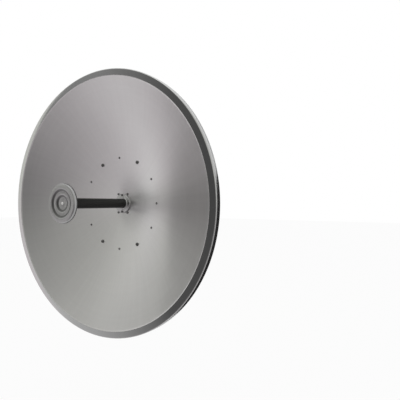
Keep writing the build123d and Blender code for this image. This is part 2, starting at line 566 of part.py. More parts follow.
# U-bolts: a round bar bent round the mast, with a washer and a nut on each leg
leg_out = Line((LEG_X, -UBOLT_REACH, 0), (LEG_X, 0, 0))
crown = ThreePointArc((LEG_X, 0, 0), (0, LEG_X, 0), (-LEG_X, 0, 0))
leg_back = Line((-LEG_X, 0, 0), (-LEG_X, -UBOLT_REACH, 0))
bar_end = Plane(origin=(LEG_X, -UBOLT_REACH, 0), z_dir=(0, 1, 0)) * Circle(UBOLT_R)
u_bolt = sweep(bar_end, path=Wire(leg_out.edges() + crown.edges() + leg_back.edges()))
washers = []
nuts = []
for name, z, under in (("upper", UPPER_BOLT_Z, LUG_FRONT_Y), ("middle", MIDDLE_BOLT_Z, ARM_WEB_FRONT_Y),
                       ("lower", LOWER_BOLT_Z, WEB_FRONT_Y)):
    save(Pos(0, 0, z) * u_bolt, f"u_bolt_{name}")
    for x in (-LEG_X, LEG_X):
        seat = under - SEAT_GAP
        washers.append(washer(UBOLT_WASHER_R, UBOLT_R + SLIDE_GAP, (x, seat, z), (x, seat - WASHER, z)))
        seat = seat - WASHER - SEAT_GAP
        nuts.append(nut(M8_FLATS, UBOLT_R, (x, seat, z), (x, seat - M8_NUT, z)))
save_group(washers, "u_bolt_washers")
save_group(nuts, "u_bolt_nuts")

# Hub flange on the dish's face and its screws
bore_r = TUBE_R + SLIDE_GAP
neck_r = TUBE_R + HUB_NECK_WALL
hub_rest = Polyline((HUB_R, parabola_y(HUB_R, -SEAT_GAP)), (HUB_R, HUB_FRONT_Y + 1.2), (HUB_R - 1.2, HUB_FRONT_Y),
                    (neck_r + 1.5, HUB_FRONT_Y), (neck_r, HUB_FRONT_Y - HUB_NECK),
                    (bore_r, HUB_FRONT_Y - HUB_NECK), (bore_r, parabola_y(bore_r, -SEAT_GAP)))
hub = revolve(make_face(parabola(bore_r, HUB_R, -SEAT_GAP) + hub_rest), Axis.Y)
save(hub - hub_holes(HUB_SCREW_HOLE_R + BOLT_GAP), "hub_flange")
head_y = HUB_FRONT_Y - SEAT_GAP
hub_screw = bar(4.2, on_hub(head_y - 2.6), on_hub(head_y))
hub_screw = hub_screw + bar(HUB_SCREW_HOLE_R - SEAT_GAP, on_hub(head_y - 1), on_hub(COLLAR_BASE_Y - 1))
hub_screw = hub_screw - prism(3.0, on_hub(head_y - 3), on_hub(head_y - 1.2))
save_group(around(hub_screw, QUARTERS), "hub_screws")
outer_y = parabola_y(OUTER_SCREW_R)
outer = []
for x, z in outer_screws:
    screw = bar(4.0, (x, outer_y - 2.4, z), (x, outer_y + 2, z)) & front_space
    screw = screw + bar(OUTER_SCREW_HOLE_R - SEAT_GAP, (x, outer_y - 1, z), (x, COLLAR_BASE_Y - 1, z))
    outer.append(screw - prism(2.5, (x, outer_y - 3, z), (x, outer_y - 1.2, z)))
save_group(outer, "collar_screws")

# Feed collar behind the dish: a round base, a split boss and its clamp screw
base_front_y = COLLAR_BASE_Y - COLLAR_BASE
collar = spin([(bore_r, base_front_y), (COLLAR_BASE_R, base_front_y), (COLLAR_BASE_R, COLLAR_BASE_Y - 1),
               (COLLAR_BASE_R - 1, COLLAR_BASE_Y), (COLLAR_R + 4, COLLAR_BASE_Y),
               (COLLAR_R, COLLAR_BASE_Y + 4), (COLLAR_R, TUBE_REAR_Y - 1), (COLLAR_R - 1, TUBE_REAR_Y),
               (bore_r, TUBE_REAR_Y)])
clamp_y = TUBE_REAR_Y - CLAMP_SCREW_INSET
clamp_z = -TUBE_R - CLAMP_SCREW_DROP
lug_low_z = clamp_z - 10.4
lug_outline = [(COLLAR_BASE_Y - 1, lug_low_z), (clamp_y, lug_low_z + 1), (clamp_y + 9.5, clamp_z - 2.4),
               (TUBE_REAR_Y, -COLLAR_R - 1), (TUBE_REAR_Y, 5 - COLLAR_R), (COLLAR_BASE_Y - 1, 5 - COLLAR_R)]
clamp_lug = plate_yz(lug_outline, -LUG_HALF, LUG_HALF)
collar = (collar + clamp_lug) & rear_space
collar = collar - through(bore_r, (0, base_front_y, 0), (0, TUBE_REAR_Y, 0))
collar = collar - block(-LUG_SLIT / 2, LUG_SLIT / 2, COLLAR_BASE_Y + 6.3, TUBE_REAR_Y + 5, lug_low_z - 5, 0)
collar = collar - through(CLAMP_SCREW_R + BOLT_GAP, (-LUG_HALF, clamp_y, clamp_z), (LUG_HALF, clamp_y, clamp_z))
threads = around(bar(HUB_SCREW_HOLE_R, on_hub(base_front_y - 5), on_hub(COLLAR_BASE_Y + 0.3)), QUARTERS)
for x, z in outer_screws:
    threads.append(bar(OUTER_SCREW_HOLE_R, (x, base_front_y - 5, z), (x, COLLAR_BASE_Y + 0.3, z)))
collar = collar - threads
save(collar, "feed_collar")
seat_x = LUG_HALF + SEAT_GAP
clamp_screw = bar(CLAMP_SCREW_R, (-seat_x - 2, clamp_y, clamp_z), (seat_x + 10, clamp_y, clamp_z))
clamp_screw = clamp_screw + prism(M8_FLATS, (-seat_x - 5.4, clamp_y, clamp_z), (-seat_x, clamp_y, clamp_z))
save(clamp_screw, "collar_bolt")
clamp_nut = nut(M8_FLATS, CLAMP_SCREW_R, (seat_x, clamp_y, clamp_z), (seat_x + M8_NUT, clamp_y, clamp_z))
save(clamp_nut, "collar_nut")

# Feed tube
tube_in_r = TUBE_R - TUBE_WALL
plug_r = tube_in_r - SEAT_GAP
tube = spin([(tube_in_r, TUBE_FRONT_Y + SEAT_GAP), (TUBE_R, TUBE_FRONT_Y + SEAT_GAP), (TUBE_R, TUBE_REAR_Y),
             (tube_in_r, TUBE_REAR_Y)])
save(tube, "feed_tube")

# Splash plate: a turned disc with a conical back, two steps in its face and a spigot in the tube
plate_front_y = TUBE_FRONT_Y - PLATE_DEPTH
edge_y = TUBE_FRONT_Y - PLATE_EDGE_BACK
spigot_y = TUBE_FRONT_Y + PLATE_SPIGOT
step_one_y = plate_front_y + STEP_DEPTH
step_two_y = step_one_y + STEP_DEPTH
plate = spin([(0, spigot_y), (plug_r, spigot_y), (plug_r, TUBE_FRONT_Y), (TUBE_R + 7, TUBE_FRONT_Y),
              (TUBE_R + 9, TUBE_FRONT_Y - 1), (PLATE_R - 1, edge_y + 1.5), (PLATE_R, edge_y),
              (PLATE_R, edge_y - 3.5), (PLATE_R - 1.5, plate_front_y + 3.2),
              (PLATE_R - 5, plate_front_y + 0.4), (STEP_ONE_R + 2.5, plate_front_y),
              (STEP_ONE_R, plate_front_y + 0.8), (STEP_ONE_R - STEP_SLOPE, step_one_y),
              (STEP_TWO_R + 2.5, step_one_y), (STEP_TWO_R, step_one_y + 0.8),
              (STEP_TWO_R - STEP_SLOPE, step_two_y), (0, step_two_y)])
plate = plate - bar(PLATE_SCREW_R, (0, step_two_y - 1, 0), (0, TUBE_FRONT_Y, 0))
save(plate, "splash_plate")
screw_seat = step_two_y - SEAT_GAP
centre = bar(4.6, (0, screw_seat - 2.7, 0), (0, screw_seat, 0))
centre = centre + bar(PLATE_SCREW_R - SEAT_GAP, (0, screw_seat - 1, 0), (0, TUBE_FRONT_Y - 1, 0))
save(centre - prism(3.0, (0, screw_seat - 4, 0), (0, screw_seat - 1.3, 0)), "splash_screw")

# Feed tail with its recessed coaxial jack
recess_r = JACK_FLANGE_R + 0.9
plug_y = TUBE_REAR_Y - TAIL_PLUG
shoulder_y = TUBE_REAR_Y + SEAT_GAP
tail = spin([(0, plug_y), (plug_r, plug_y), (plug_r, shoulder_y), (TAIL_R, shoulder_y),
             (TAIL_R, TAIL_END_Y - 0.8), (TAIL_R - 0.8, TAIL_END_Y), (recess_r, TAIL_END_Y),
             (recess_r, JACK_SEAT_Y), (0, JACK_SEAT_Y)])
save(tail, "feed_tail")
seat_y = JACK_SEAT_Y + SEAT_GAP
socket_r = JACK_THREAD_R - 1.04
post_r = 4.6
contact_r = 1.6
socket_y = JACK_END_Y - 6
post_y = JACK_END_Y - 5
contact_y = JACK_END_Y - 1.5
jack = spin([(post_r, seat_y), (JACK_FLANGE_R, seat_y), (JACK_FLANGE_R, seat_y + JACK_FLANGE),
             (JACK_THREAD_R, seat_y + JACK_FLANGE), (JACK_THREAD_R, JACK_END_Y), (socket_r, JACK_END_Y),
             (socket_r, socket_y), (post_r, socket_y)])
save(jack, "coax_jack")
insulator_r = post_r - SEAT_GAP
insulator = spin([(contact_r, seat_y), (insulator_r, seat_y), (insulator_r, post_y), (contact_r, post_y)])
save(insulator, "jack_insulator")
pin_r = contact_r - SEAT_GAP
tip_r = 0.9
contact = spin([(0, seat_y), (pin_r, seat_y), (pin_r, contact_y), (tip_r, contact_y), (tip_r, post_y),
                (0, post_y)])
save(contact, "jack_contact")
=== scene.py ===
import math

import bmesh
import bpy
from mathutils import Matrix, Vector


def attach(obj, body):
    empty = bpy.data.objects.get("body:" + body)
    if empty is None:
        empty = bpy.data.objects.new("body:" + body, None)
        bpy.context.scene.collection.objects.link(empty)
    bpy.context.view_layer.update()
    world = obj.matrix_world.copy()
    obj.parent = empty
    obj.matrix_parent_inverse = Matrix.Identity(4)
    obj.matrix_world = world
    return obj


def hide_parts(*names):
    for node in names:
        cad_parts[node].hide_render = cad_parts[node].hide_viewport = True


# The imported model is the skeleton: every piece below rides on one of its bodies. The origin is on the
# clamp's axis at the height of the dish's axis; the dish looks along -Y and +Z is up.
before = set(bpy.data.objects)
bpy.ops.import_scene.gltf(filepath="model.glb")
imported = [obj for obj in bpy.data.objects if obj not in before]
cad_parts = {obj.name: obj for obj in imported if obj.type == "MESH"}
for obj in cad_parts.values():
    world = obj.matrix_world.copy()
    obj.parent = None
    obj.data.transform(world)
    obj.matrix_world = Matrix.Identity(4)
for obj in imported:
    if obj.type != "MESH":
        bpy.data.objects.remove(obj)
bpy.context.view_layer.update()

# The reflector is one disc of 2 mm aluminium, spun over a former to a true parabola. A flat flange runs
# round its edge, with a lip turned back for stiffness, and the spinning leaves fine rings all over it.
MM = 0.001
FOCAL = 308.0
VERTEX_Y = -140.4
APERTURE_R = 428.0
RIM_R = 450.0
RIM_LIP = 20.0
RIM_SHEET = 1.8
RIM_BEND = 3.0
BEND_STEPS = 6
FACE_STEPS = 90
DISH_SHEET = 2.0
FEED_HOLE_R = 17.4
CENTRE = (0, 0, 0)
BACKWARD = (0, 1, 0)


class Value:
    """A node's output that takes + - * / and other sums as Math nodes."""

    def __init__(self, nodes, socket):
        self.nodes = nodes
        self.socket = socket

    def math(self, operation, *others):
        return self.nodes.add("ShaderNodeMath", dict(enumerate((self, *others))), operation=operation)

    def other(self, name):
        """Another output of the same node."""
        return Value(self.nodes, self.socket.node.outputs[name])

    def clamped(self):
        return self.math("MAXIMUM", 0.0).math("MINIMUM", 1.0)

    def __add__(self, other):
        return self.math("ADD", other)

    def __radd__(self, other):
        return self.math("ADD", other)

    def __sub__(self, other):
        return self.math("SUBTRACT", other)

    def __rsub__(self, other):
        return self.nodes.add("ShaderNodeMath", {0: other, 1: self}, operation="SUBTRACT")

    def __mul__(self, other):
        return self.math("MULTIPLY", other)

    def __rmul__(self, other):
        return self.math("MULTIPLY", other)

    def __truediv__(self, other):
        return self.math("DIVIDE", other)

    def __rtruediv__(self, other):
        return self.nodes.add("ShaderNodeMath", {0: other, 1: self}, operation="DIVIDE")


class Nodes:
    """An empty node tree, with one method that adds any node to it."""

    def __init__(self, tree):
        self.tree = tree
        self.tree.nodes.clear()

    def add(self, kind, sockets=(), out=0, stops=(), **settings):
        """Adds a node: its kind, its settings and ramp stops, then the values or links of its sockets."""
        node = self.tree.nodes.new(kind)
        for key, value in settings.items():
            setattr(node, key, value)
        if stops:
            ramp = node.color_ramp
            while len(ramp.elements) < len(stops):
                ramp.elements.new(0.5)
            for element, (place, grey) in zip(ramp.elements, stops):
                element.position = place
                element.color = (grey, grey, grey, 1.0)
        for key, value in dict(sockets).items():
            socket = node.inputs[key]
            if isinstance(value, Value):
                self.tree.links.new(value.socket, socket)
            elif socket.type == "RGBA":
                socket.default_value = (*value, 1.0)
            else:
                socket.default_value = value
        return Value(self, node.outputs[out]) if len(node.outputs) else None

    def split(self, vector):
        """The three parts of a vector."""
        x = self.add("ShaderNodeSeparateXYZ", {"Vector": vector})
        return x, x.other("Y"), x.other("Z")

    def join(self, x=0.0, y=0.0, z=0.0):
        """A vector from three parts."""
        return self.add("ShaderNodeCombineXYZ", {"X": x, "Y": y, "Z": z})

    def vector(self, operation, first, second, out=0):
        return self.add("ShaderNodeVectorMath", {0: first, 1: second}, out, operation=operation)

    def scaled(self, vector, scale):
        return self.add("ShaderNodeVectorMath", {0: vector, "Scale": scale}, operation="SCALE")


class Finish(Nodes):
    """A material, or the world, on its own node tree."""

    def __init__(self, name, world=False):
        self.data = bpy.data.worlds.new(name) if world else bpy.data.materials.new(name)
        self.data.use_nodes = True
        super().__init__(self.data.node_tree)

    def place(self, scale=(1, 1, 1)):
        """Object coordinates, stretched along the axes."""
        here = self.add("ShaderNodeTexCoord", out="Object")
        return self.add("ShaderNodeMapping", {"Vector": here, "Scale": scale})

    def noise(self, vector, scale, detail=3.0):
        sockets = {"Vector": vector, "Scale": scale, "Detail": detail, "Roughness": 0.55}
        return self.add("ShaderNodeTexNoise", sockets, out="Fac")

    def rise(self, value, start, end):
        """A smooth step from 0 to 1 between two numbers."""
        sockets = {"Value": value, "From Min": start, "From Max": end}
        return self.add("ShaderNodeMapRange", sockets, interpolation_type="SMOOTHSTEP")

    def mix(self, share, first, second):
        """A colour between two colours."""
        return self.add("ShaderNodeMix", {0: share, 6: first, 7: second}, out=2, data_type="RGBA")

    def bump(self, height, strength, distance):
        return self.add("ShaderNodeBump", {"Height": height, "Strength": strength, "Distance": distance})

    def surface(self, colour, roughness, **sockets):
        """Closes the tree with one surface, metal unless told otherwise, and returns the material."""
        named = {"Base Color": colour, "Roughness": roughness, "Metallic": 1.0}
        named.update({key.replace("_", " "): value for key, value in sockets.items()})
        self.add("ShaderNodeOutputMaterial", {"Surface": self.add("ShaderNodeBsdfPrincipled", named)})
        return self.data


def new_object(name, mesh):
    obj = bpy.data.objects.new(name, mesh)
    bpy.context.collection.objects.link(obj)
    return obj


def mesh_object(name, bm, sharp_deg=30.0):
    """An object from a bmesh, closed and facing outwards, smooth apart from its sharp edges."""
    bmesh.ops.recalc_face_normals(bm, faces=bm.faces)
    for face in bm.faces:
        face.smooth = True
    for edge in bm.edges:
        edge.smooth = len(edge.link_faces) == 2 and edge.calc_face_angle(0.0) < math.radians(sharp_deg)
    mesh = bpy.data.meshes.new(name)
    bm.to_mesh(mesh)
    bm.free()
    return new_object(name, mesh)


def lathe(bm, outline, segments, seat, way):
    """Adds a solid turned round a way from its seat, all in mm.

    The outline is a row of (radius, distance along the way) points. It runs from axis to axis, or else
    closes on itself as a ring. A third number on a point is the width across flats of a hexagon there.
    """
    turn = Vector(way).to_track_quat("Z", "X").to_matrix().to_4x4()
    to_place = Matrix.Translation(Vector(seat) * MM) @ turn @ Matrix.Scale(MM, 4)
    layer = bm.loops.layers.uv.get("turned") or bm.loops.layers.uv.new("turned")
    rings = []
    for radius, along, *flats in outline:
        ring = []
        for step in range(1 if radius == 0 else segments):
            a = 2 * math.pi * step / segments
            reach = radius
            if flats:
                off_flat = (a + math.pi / 6) % (math.pi / 3) - math.pi / 6
                reach = min(radius, flats[0] / 2 / math.cos(off_flat))
            ring.append(bm.verts.new(to_place @ Vector((reach * math.cos(a), reach * math.sin(a), along))))
        rings.append(ring)
    for index, ring in enumerate(rings):
        following = rings[(index + 1) % len(rings)]
        if len(ring) == 1 and len(following) == 1:
            continue
        for step in range(segments):
            after = (step + 1) % segments
            corners = {}
            face_round = (step, ring, 0), (after, ring, 0), (after, following, 1), (step, following, 1)
            for around, side, v in face_round:
                corners.setdefault(side[around % len(side)], (step + (around != step), index + v))
            face = bm.faces.new(corners)
            for loop in face.loops:
                u, v = corners[loop.vert]
                loop[layer].uv = (u / segments, v / len(rings))


def turned(name, solids, finish, segments=24, sharp_deg=30.0):
    """One piece made of turned solids, each an outline, its seat and its way."""
    bm = bmesh.new()
    for outline, seat, way in solids:
        lathe(bm, outline, segments, seat, way)
    obj = mesh_object(name, bm, sharp_deg)
    obj.data.materials.append(finish)
    return obj


def grown(obj, title, given, rule):
    """Lets a geometry node tree with named inputs reshape a piece, and makes the result a plain mesh."""
    group = bpy.data.node_groups.new(title, "GeometryNodeTree")
    nodes = Nodes(group)
    for name, (kind, value) in {"Geometry": ("Geometry", None), **given}.items():
        group.interface.new_socket(name, in_out="INPUT", socket_type="NodeSocket" + kind)
    group.interface.new_socket("Geometry", in_out="OUTPUT", socket_type="NodeSocketGeometry")
    inputs = nodes.add("NodeGroupInput")
    real = nodes.add("GeometryNodeRealizeInstances", {"Geometry": rule(nodes, inputs)})
    sockets = {"Geometry": real, "Material": inputs.other("Finish")}
    nodes.add("NodeGroupOutput", {"Geometry": nodes.add("GeometryNodeSetMaterial", sockets)})
    modifier = obj.modifiers.new(title, "NODES")
    modifier.node_group = group
    for item in group.interface.items_tree:
        if item.in_out == "INPUT" and item.name in given:
            modifier[item.identifier] = given[item.name][1]
    graph = bpy.context.evaluated_depsgraph_get()
    mesh = bpy.data.meshes.new_from_object(obj.evaluated_get(graph))
    obj.modifiers.clear()
    obj.data = mesh
    return obj


def fitted(obj, body, slot, *nodes):
    """Rides a piece on its body and hides the frame nodes it stands for. The slot is not used."""
    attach(obj, body)
    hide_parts(*nodes)


def dish_y(r, shift=0.0):
    """The parabola's y at a radius."""
    return VERTEX_Y + shift - r * r / (4 * FOCAL)


def pressed(nodes, given):
    """Presses the flat blank to the parabola; the flange outside the aperture stays flat."""
    x, y, z = nodes.split(nodes.add("GeometryNodeInputPosition"))
    r = (x * x + z * z).math("SQRT").math("MINIMUM", given.other("Aperture radius"))
    drop = given.other("Vertex") - r * r / (given.other("Focal length") * 4)
    sockets = {"Geometry": given.other("Geometry"), "Offset": nodes.join(y=drop)}
    return nodes.add("GeometryNodeSetPosition", sockets)


spun = Finish("spun_aluminium")
x, y, z = spun.split(spun.place())
across = (x * x + z * z).math("SQRT")
fine = spun.noise(spun.join(x=across), 900.0, detail=2.0)
broad = spun.noise(spun.join(x=across), 60.0, detail=2.0)
cloud = spun.noise(spun.place(), 5.0, detail=3.0)
streak = spun.noise(spun.join(x / across * 26, z / across * 26, across * 3), 1.0, detail=3.0)
on_rim = spun.rise(across, (APERTURE_R - 0.5) * MM, (APERTURE_R + 0.5) * MM)
tone = (fine * 0.35 + broad * 0.3 + cloud * 0.35 + streak * 0.35 - 0.17).clamped()
face_tone = spun.mix(tone, (0.50, 0.495, 0.495), (0.66, 0.655, 0.655))
# The flange's tone is darker than the face's: painted shade for the dark band the flat flange mirrors. It
# is the same spun sheet.
rim_painted_shade_tone = spun.mix(tone, (0.40, 0.40, 0.40), (0.50, 0.50, 0.495))
on_bend = spun.rise(across, (RIM_R - RIM_BEND - 0.5) * MM, (RIM_R - RIM_BEND + 1.0) * MM)
face_rough = broad * 0.06 + streak * 0.04 + 0.25
rim_rough = 0.07
roughness = face_rough - on_rim * (face_rough - rim_rough) + on_bend * 0.12
ripple = spun.bump(fine * 0.6 + broad * 0.4, 0.06, 0.0004)
round_the_dish = spun.add("ShaderNodeTangent", direction_type="UV_MAP", uv_map="turned")
spun_metal = spun.surface(spun.mix(on_rim, face_tone, rim_painted_shade_tone), roughness, Anisotropic=0.85,
                          Tangent=round_the_dish, Normal=ripple)

face_radii = [FEED_HOLE_R + (APERTURE_R - FEED_HOLE_R) * i / FACE_STEPS for i in range(FACE_STEPS + 1)]
blank = [(r, 0) for r in face_radii]
blank += [(APERTURE_R + 0.5, -0.1), (APERTURE_R + 1.5, 0), (RIM_R - RIM_BEND, 0)]
for step in range(1, BEND_STEPS + 1):
    a = math.radians(90 * step / BEND_STEPS)
    blank.append((RIM_R - RIM_BEND + RIM_BEND * math.sin(a), RIM_BEND - RIM_BEND * math.cos(a)))
blank += [(RIM_R, RIM_LIP - 0.5), (RIM_R - 0.5, RIM_LIP), (RIM_R - RIM_SHEET, RIM_LIP),
          (RIM_R - RIM_SHEET, RIM_BEND), (RIM_R - RIM_BEND, RIM_SHEET)]
blank += [(r, DISH_SHEET) for r in reversed(face_radii) if r < APERTURE_R - 1]
bowl = turned("dish_sheet", [(blank, CENTRE, BACKWARD)], spun_metal, segments=256, sharp_deg=50)
parabola = {"Focal length": ("Float", FOCAL * MM), "Vertex": ("Float", VERTEX_Y * MM),
            "Aperture radius": ("Float", APERTURE_R * MM), "Finish": ("Material", spun_metal)}
grown(bowl, "spun_to_parabola", parabola, pressed)
fitted(bowl, "dish", "spun_aluminium", "reflector")


# The ring behind the dish is an aluminium casting: a channel open towards the sheet, with a groove
# turned in its outer wall and a boss for each fixing. Its edges are broken and its skin is fine sand.
SAME_POINT = 0.01
SAME_FACE_DEG = 1.5
ROUNDED_EDGE_DEG = 32.0
SHARP_EDGE_DEG = 38.0


def softened(node, name, width_mm, finish):
    """A merged copy of a frame node with its flat faces joined and its edges rounded."""
    bm = bmesh.new()
    bm.from_mesh(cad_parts[node].data)
    bmesh.ops.remove_doubles(bm, verts=bm.verts, dist=SAME_POINT * MM)
    bmesh.ops.dissolve_limit(bm, angle_limit=math.radians(SAME_FACE_DEG), verts=bm.verts, edges=bm.edges)
    obj = mesh_object(name, bm)
    bevel = obj.modifiers.new("edges", "BEVEL")
    bevel.width = width_mm * MM
    bevel.segments = 2
    bevel.limit_method = "ANGLE"
    bevel.angle_limit = math.radians(ROUNDED_EDGE_DEG)
    graph = bpy.context.evaluated_depsgraph_get()
    bm = bmesh.new()
    bm.from_mesh(bpy.data.meshes.new_from_object(obj.evaluated_get(graph)))
    bpy.data.objects.remove(obj)
    obj = mesh_object(name, bm, SHARP_EDGE_DEG)
    obj.data.materials.clear()
    obj.data.materials.append(finish)
    return obj


def cast_finish(name, dark, light, roughness):
    """Cast aluminium: a fine sand skin with a soft, uneven tone."""
    cast = Finish(name)
    grain = cast.noise(cast.place(), 900.0)
    cloud = cast.noise(cast.place(), 25.0)
    tone = cast.mix((cloud * 1.4 + grain * 0.3 - 0.35).clamped(), dark, light)
    return cast.surface(tone, cloud * 0.12 + roughness, Metallic=0.9, Normal=cast.bump(grain, 0.25, 0.0004))


cast_metal = cast_finish("cast_aluminium", (0.33, 0.33, 0.335), (0.47, 0.47, 0.47), 0.4)
ring = softened("backing_ring", "cast_ring", 0.7, cast_metal)
fitted(ring, "dish", "cast_aluminium", "backing_ring")


# Twelve fixings on one circle hold the sheet to the ring: four zinc-plated button-head bolts, 30 degrees
# either side of the vertical, with nuts behind, and eight aluminium rivets in the other places.
BOLT_CIRCLE_R = 166.5
RING_BACK_Y = -136.0
YOKE_SHEET = 4.0
SEAT_GAP = 0.05
M6_R = 3.0
M6_PITCH = 1.0
M6_FLATS = 10.0
M6_NUT = 5.0
M6_BORE = 2.7
BOLT_PAST_SEAT = 12.0
BOLT_THREAD = 19.0
THREAD_LEAD = 0.6
THREAD_DEPTH = 0.5
CIRCLE_PLACES = 12
BOLT_PLACES = (1, 5, 7, 11)


def plated_finish(name, dark, light, roughness):
    """Zinc plate: a cloudy grey with fine specks."""
    plated = Finish(name)
    cloud = plated.noise(plated.place(), 160.0)
    speck = plated.noise(plated.place(), 1800.0, detail=2.0)
    tone = plated.mix((cloud * 0.8 + speck * 0.2).clamped(), dark, light)
    return plated.surface(tone, cloud * 0.2 + roughness, Normal=plated.bump(speck, 0.12, 0.0002))


def rows(radius, start, end, pitch):
    """The outline of a shank with four rows to each turn of its thread, and a chamfer at its end."""
    count = round((end - start) / pitch * 4)
    row = [(radius, start + (end - start) * i / count) for i in range(count)]
    return row + [(radius, end - 0.5), (radius - 0.5, end), (0, end)]


def nut_outline(flats, height, bore):
    """A hexagon nut, chamfered on both faces."""
    corner = flats / math.sqrt(3)
    face_r = flats * 0.485
    slope = (corner - face_r) * 0.5
    return [(bore, 0.4), (bore + 0.4, 0), (face_r, 0), (corner, slope, flats),
            (corner, height - slope, flats), (face_r, height), (bore + 0.4, height), (bore, height - 0.4)]


def threaded(obj, finish, radius, pitch, foot, way, start, end):
    """Cuts a screw thread into a shank, between two distances from its foot along its way."""
    def rule(nodes, given):
        way = given.other("Way")
        from_foot = nodes.vector("SUBTRACT", nodes.add("GeometryNodeInputPosition"), given.other("Foot"))
        along = nodes.vector("DOT_PRODUCT", from_foot, way, "Value")
        outward = nodes.vector("SUBTRACT", from_foot, nodes.scaled(way, along))
        reach = nodes.add("ShaderNodeVectorMath", {0: outward}, "Value", operation="LENGTH")
        side = nodes.vector("DOT_PRODUCT", outward, given.other("Side"), "Value")
        third = nodes.vector("CROSS_PRODUCT", way, given.other("Side"))
        turn = nodes.vector("DOT_PRODUCT", outward, third, "Value").math("ARCTAN2", side) / (2 * math.pi)
        pitch = given.other("Pitch")
        ridge = ((along / pitch - turn).math("FRACT") * 2 - 1).math("ABSOLUTE")
        to_end = (along - given.other("Start")).math("MINIMUM", given.other("End") - along)
        on_shank = (reach / given.other("Radius") - 1).math("ABSOLUTE").math("LESS_THAN", 0.01)
        depth = on_shank * (to_end / pitch).clamped() * (1 - ridge) * pitch * THREAD_DEPTH
        offset = nodes.scaled(outward, -1 * (depth / reach))
        return nodes.add("GeometryNodeSetPosition", {"Geometry": given.other("Geometry"), "Offset": offset})

    way = Vector(way).normalized()
    given = {"Radius": ("Float", radius * MM), "Pitch": ("Float", pitch * MM),
             "Foot": ("Vector", Vector(foot) * MM), "Way": ("Vector", way),
             "Side": ("Vector", way.orthogonal().normalized()), "Start": ("Float", start * MM),
             "End": ("Float", end * MM), "Finish": ("Material", finish)}
    return grown(obj, "screw_thread", given, rule)


def copies(name, shape, finish, spots, spacing):
    """Copies a shape to spots, then clears the shape away.

    A spot is a place, in steps of the spacing, and a turn round the dish's axis.
    """
    def rule(nodes, given):
        places = nodes.scaled(nodes.add("GeometryNodeInputPosition"), given.other("Spacing"))
        sockets = {"Geometry": given.other("Geometry"), "Position": places}
        spread = nodes.add("GeometryNodeSetPosition", sockets)
        turn = nodes.add("GeometryNodeInputNamedAttribute", {"Name": "turn"}, data_type="FLOAT")
        copied = nodes.add("GeometryNodeObjectInfo", {"Object": given.other("Shape")}, "Geometry")
        sockets = {"Points": spread, "Instance": copied, "Rotation": nodes.join(y=turn)}
        return nodes.add("GeometryNodeInstanceOnPoints", sockets)

    mesh = bpy.data.meshes.new(name)
    mesh.from_pydata([place for place, turn in spots], [], [])
    turns = mesh.attributes.new("turn", "FLOAT", "POINT")
    turns.data.foreach_set("value", [turn for place, turn in spots])
    given = {"Shape": ("Object", shape), "Spacing": ("Float", spacing * MM), "Finish": ("Material", finish)}
    obj = grown(new_object(name, mesh), "copies_at_spots", given, rule)
    bpy.data.objects.remove(shape)
    return obj


def on_circle(count, places):
    """Spots on a unit circle round the dish's axis, counted clockwise from the top."""
    turns = [2 * math.pi * place / count for place in places]
    return [((math.sin(a), 0, math.cos(a)), a) for a in turns]


zinc_metal = plated_finish("zinc_plated_steel", (0.34, 0.34, 0.33), (0.54, 0.54, 0.52), 0.26)
dull_metal = plated_finish("dulled_zinc", (0.09, 0.09, 0.09), (0.20, 0.20, 0.195), 0.32)
rivet_metal = plated_finish("rivet_aluminium", (0.12, 0.12, 0.12), (0.24, 0.24, 0.24), 0.3)
face_y = dish_y(BOLT_CIRCLE_R)
nut_y = RING_BACK_Y + YOKE_SHEET + SEAT_GAP
bolt_length = nut_y + BOLT_PAST_SEAT - face_y
bolt_outline = [(0, -2.2), (2.31, -2.2, 4.0), (2.31, -4.4, 4.0), (2.7, -4.6), (3.8, -4.35), (5.0, -3.5),
                (5.9, -2.2), (6.2, -1.2), (6.2, 1.7), (M6_R, 1.7)]
bolt_outline += rows(M6_R, bolt_length - BOLT_THREAD - M6_PITCH, bolt_length, M6_PITCH)
bolt = turned("bolt_shape", [(bolt_outline, (0, face_y, 0), BACKWARD)], dull_metal)
threaded(bolt, dull_metal, M6_R, M6_PITCH, (0, face_y, 0), BACKWARD,
         bolt_length - BOLT_THREAD, bolt_length - THREAD_LEAD)
bolts = copies("face_bolts", bolt, dull_metal, on_circle(CIRCLE_PLACES, BOLT_PLACES), BOLT_CIRCLE_R)
fitted(bolts, "dish", "zinc_fixings", "ring_bolts")
m6_nut = nut_outline(M6_FLATS, M6_NUT, M6_BORE)
ring_nut = turned("nut_shape", [(m6_nut, (0, nut_y, 0), BACKWARD)], zinc_metal)
ring_nuts = copies("back_nuts", ring_nut, zinc_metal, on_circle(CIRCLE_PLACES, BOLT_PLACES), BOLT_CIRCLE_R)
fitted(ring_nuts, "dish", "zinc_fixings", "ring_nuts")
tail = RING_BACK_Y + SEAT_GAP - face_y
rivet_outline = [(0, -2.6), (2.0, -2.35), (3.3, -1.6), (4.1, -0.6), (4.4, 0.5), (4.4, 1.2), (2.4, 1.2),
                 (2.4, tail), (4.0, tail), (3.8, tail + 0.8), (3.0, tail + 1.7), (1.6, tail + 2.1),
                 (0, tail + 2.2)]
rivet = turned("rivet_shape", [(rivet_outline, (0, face_y, 0), BACKWARD)], rivet_metal)
rivet_places = [place for place in range(CIRCLE_PLACES) if place not in BOLT_PLACES]
rivets = copies("face_rivets", rivet, rivet_metal, on_circle(CIRCLE_PLACES, rivet_places), BOLT_CIRCLE_R)
fitted(rivets, "dish", "rivet_aluminium", "ring_rivets")


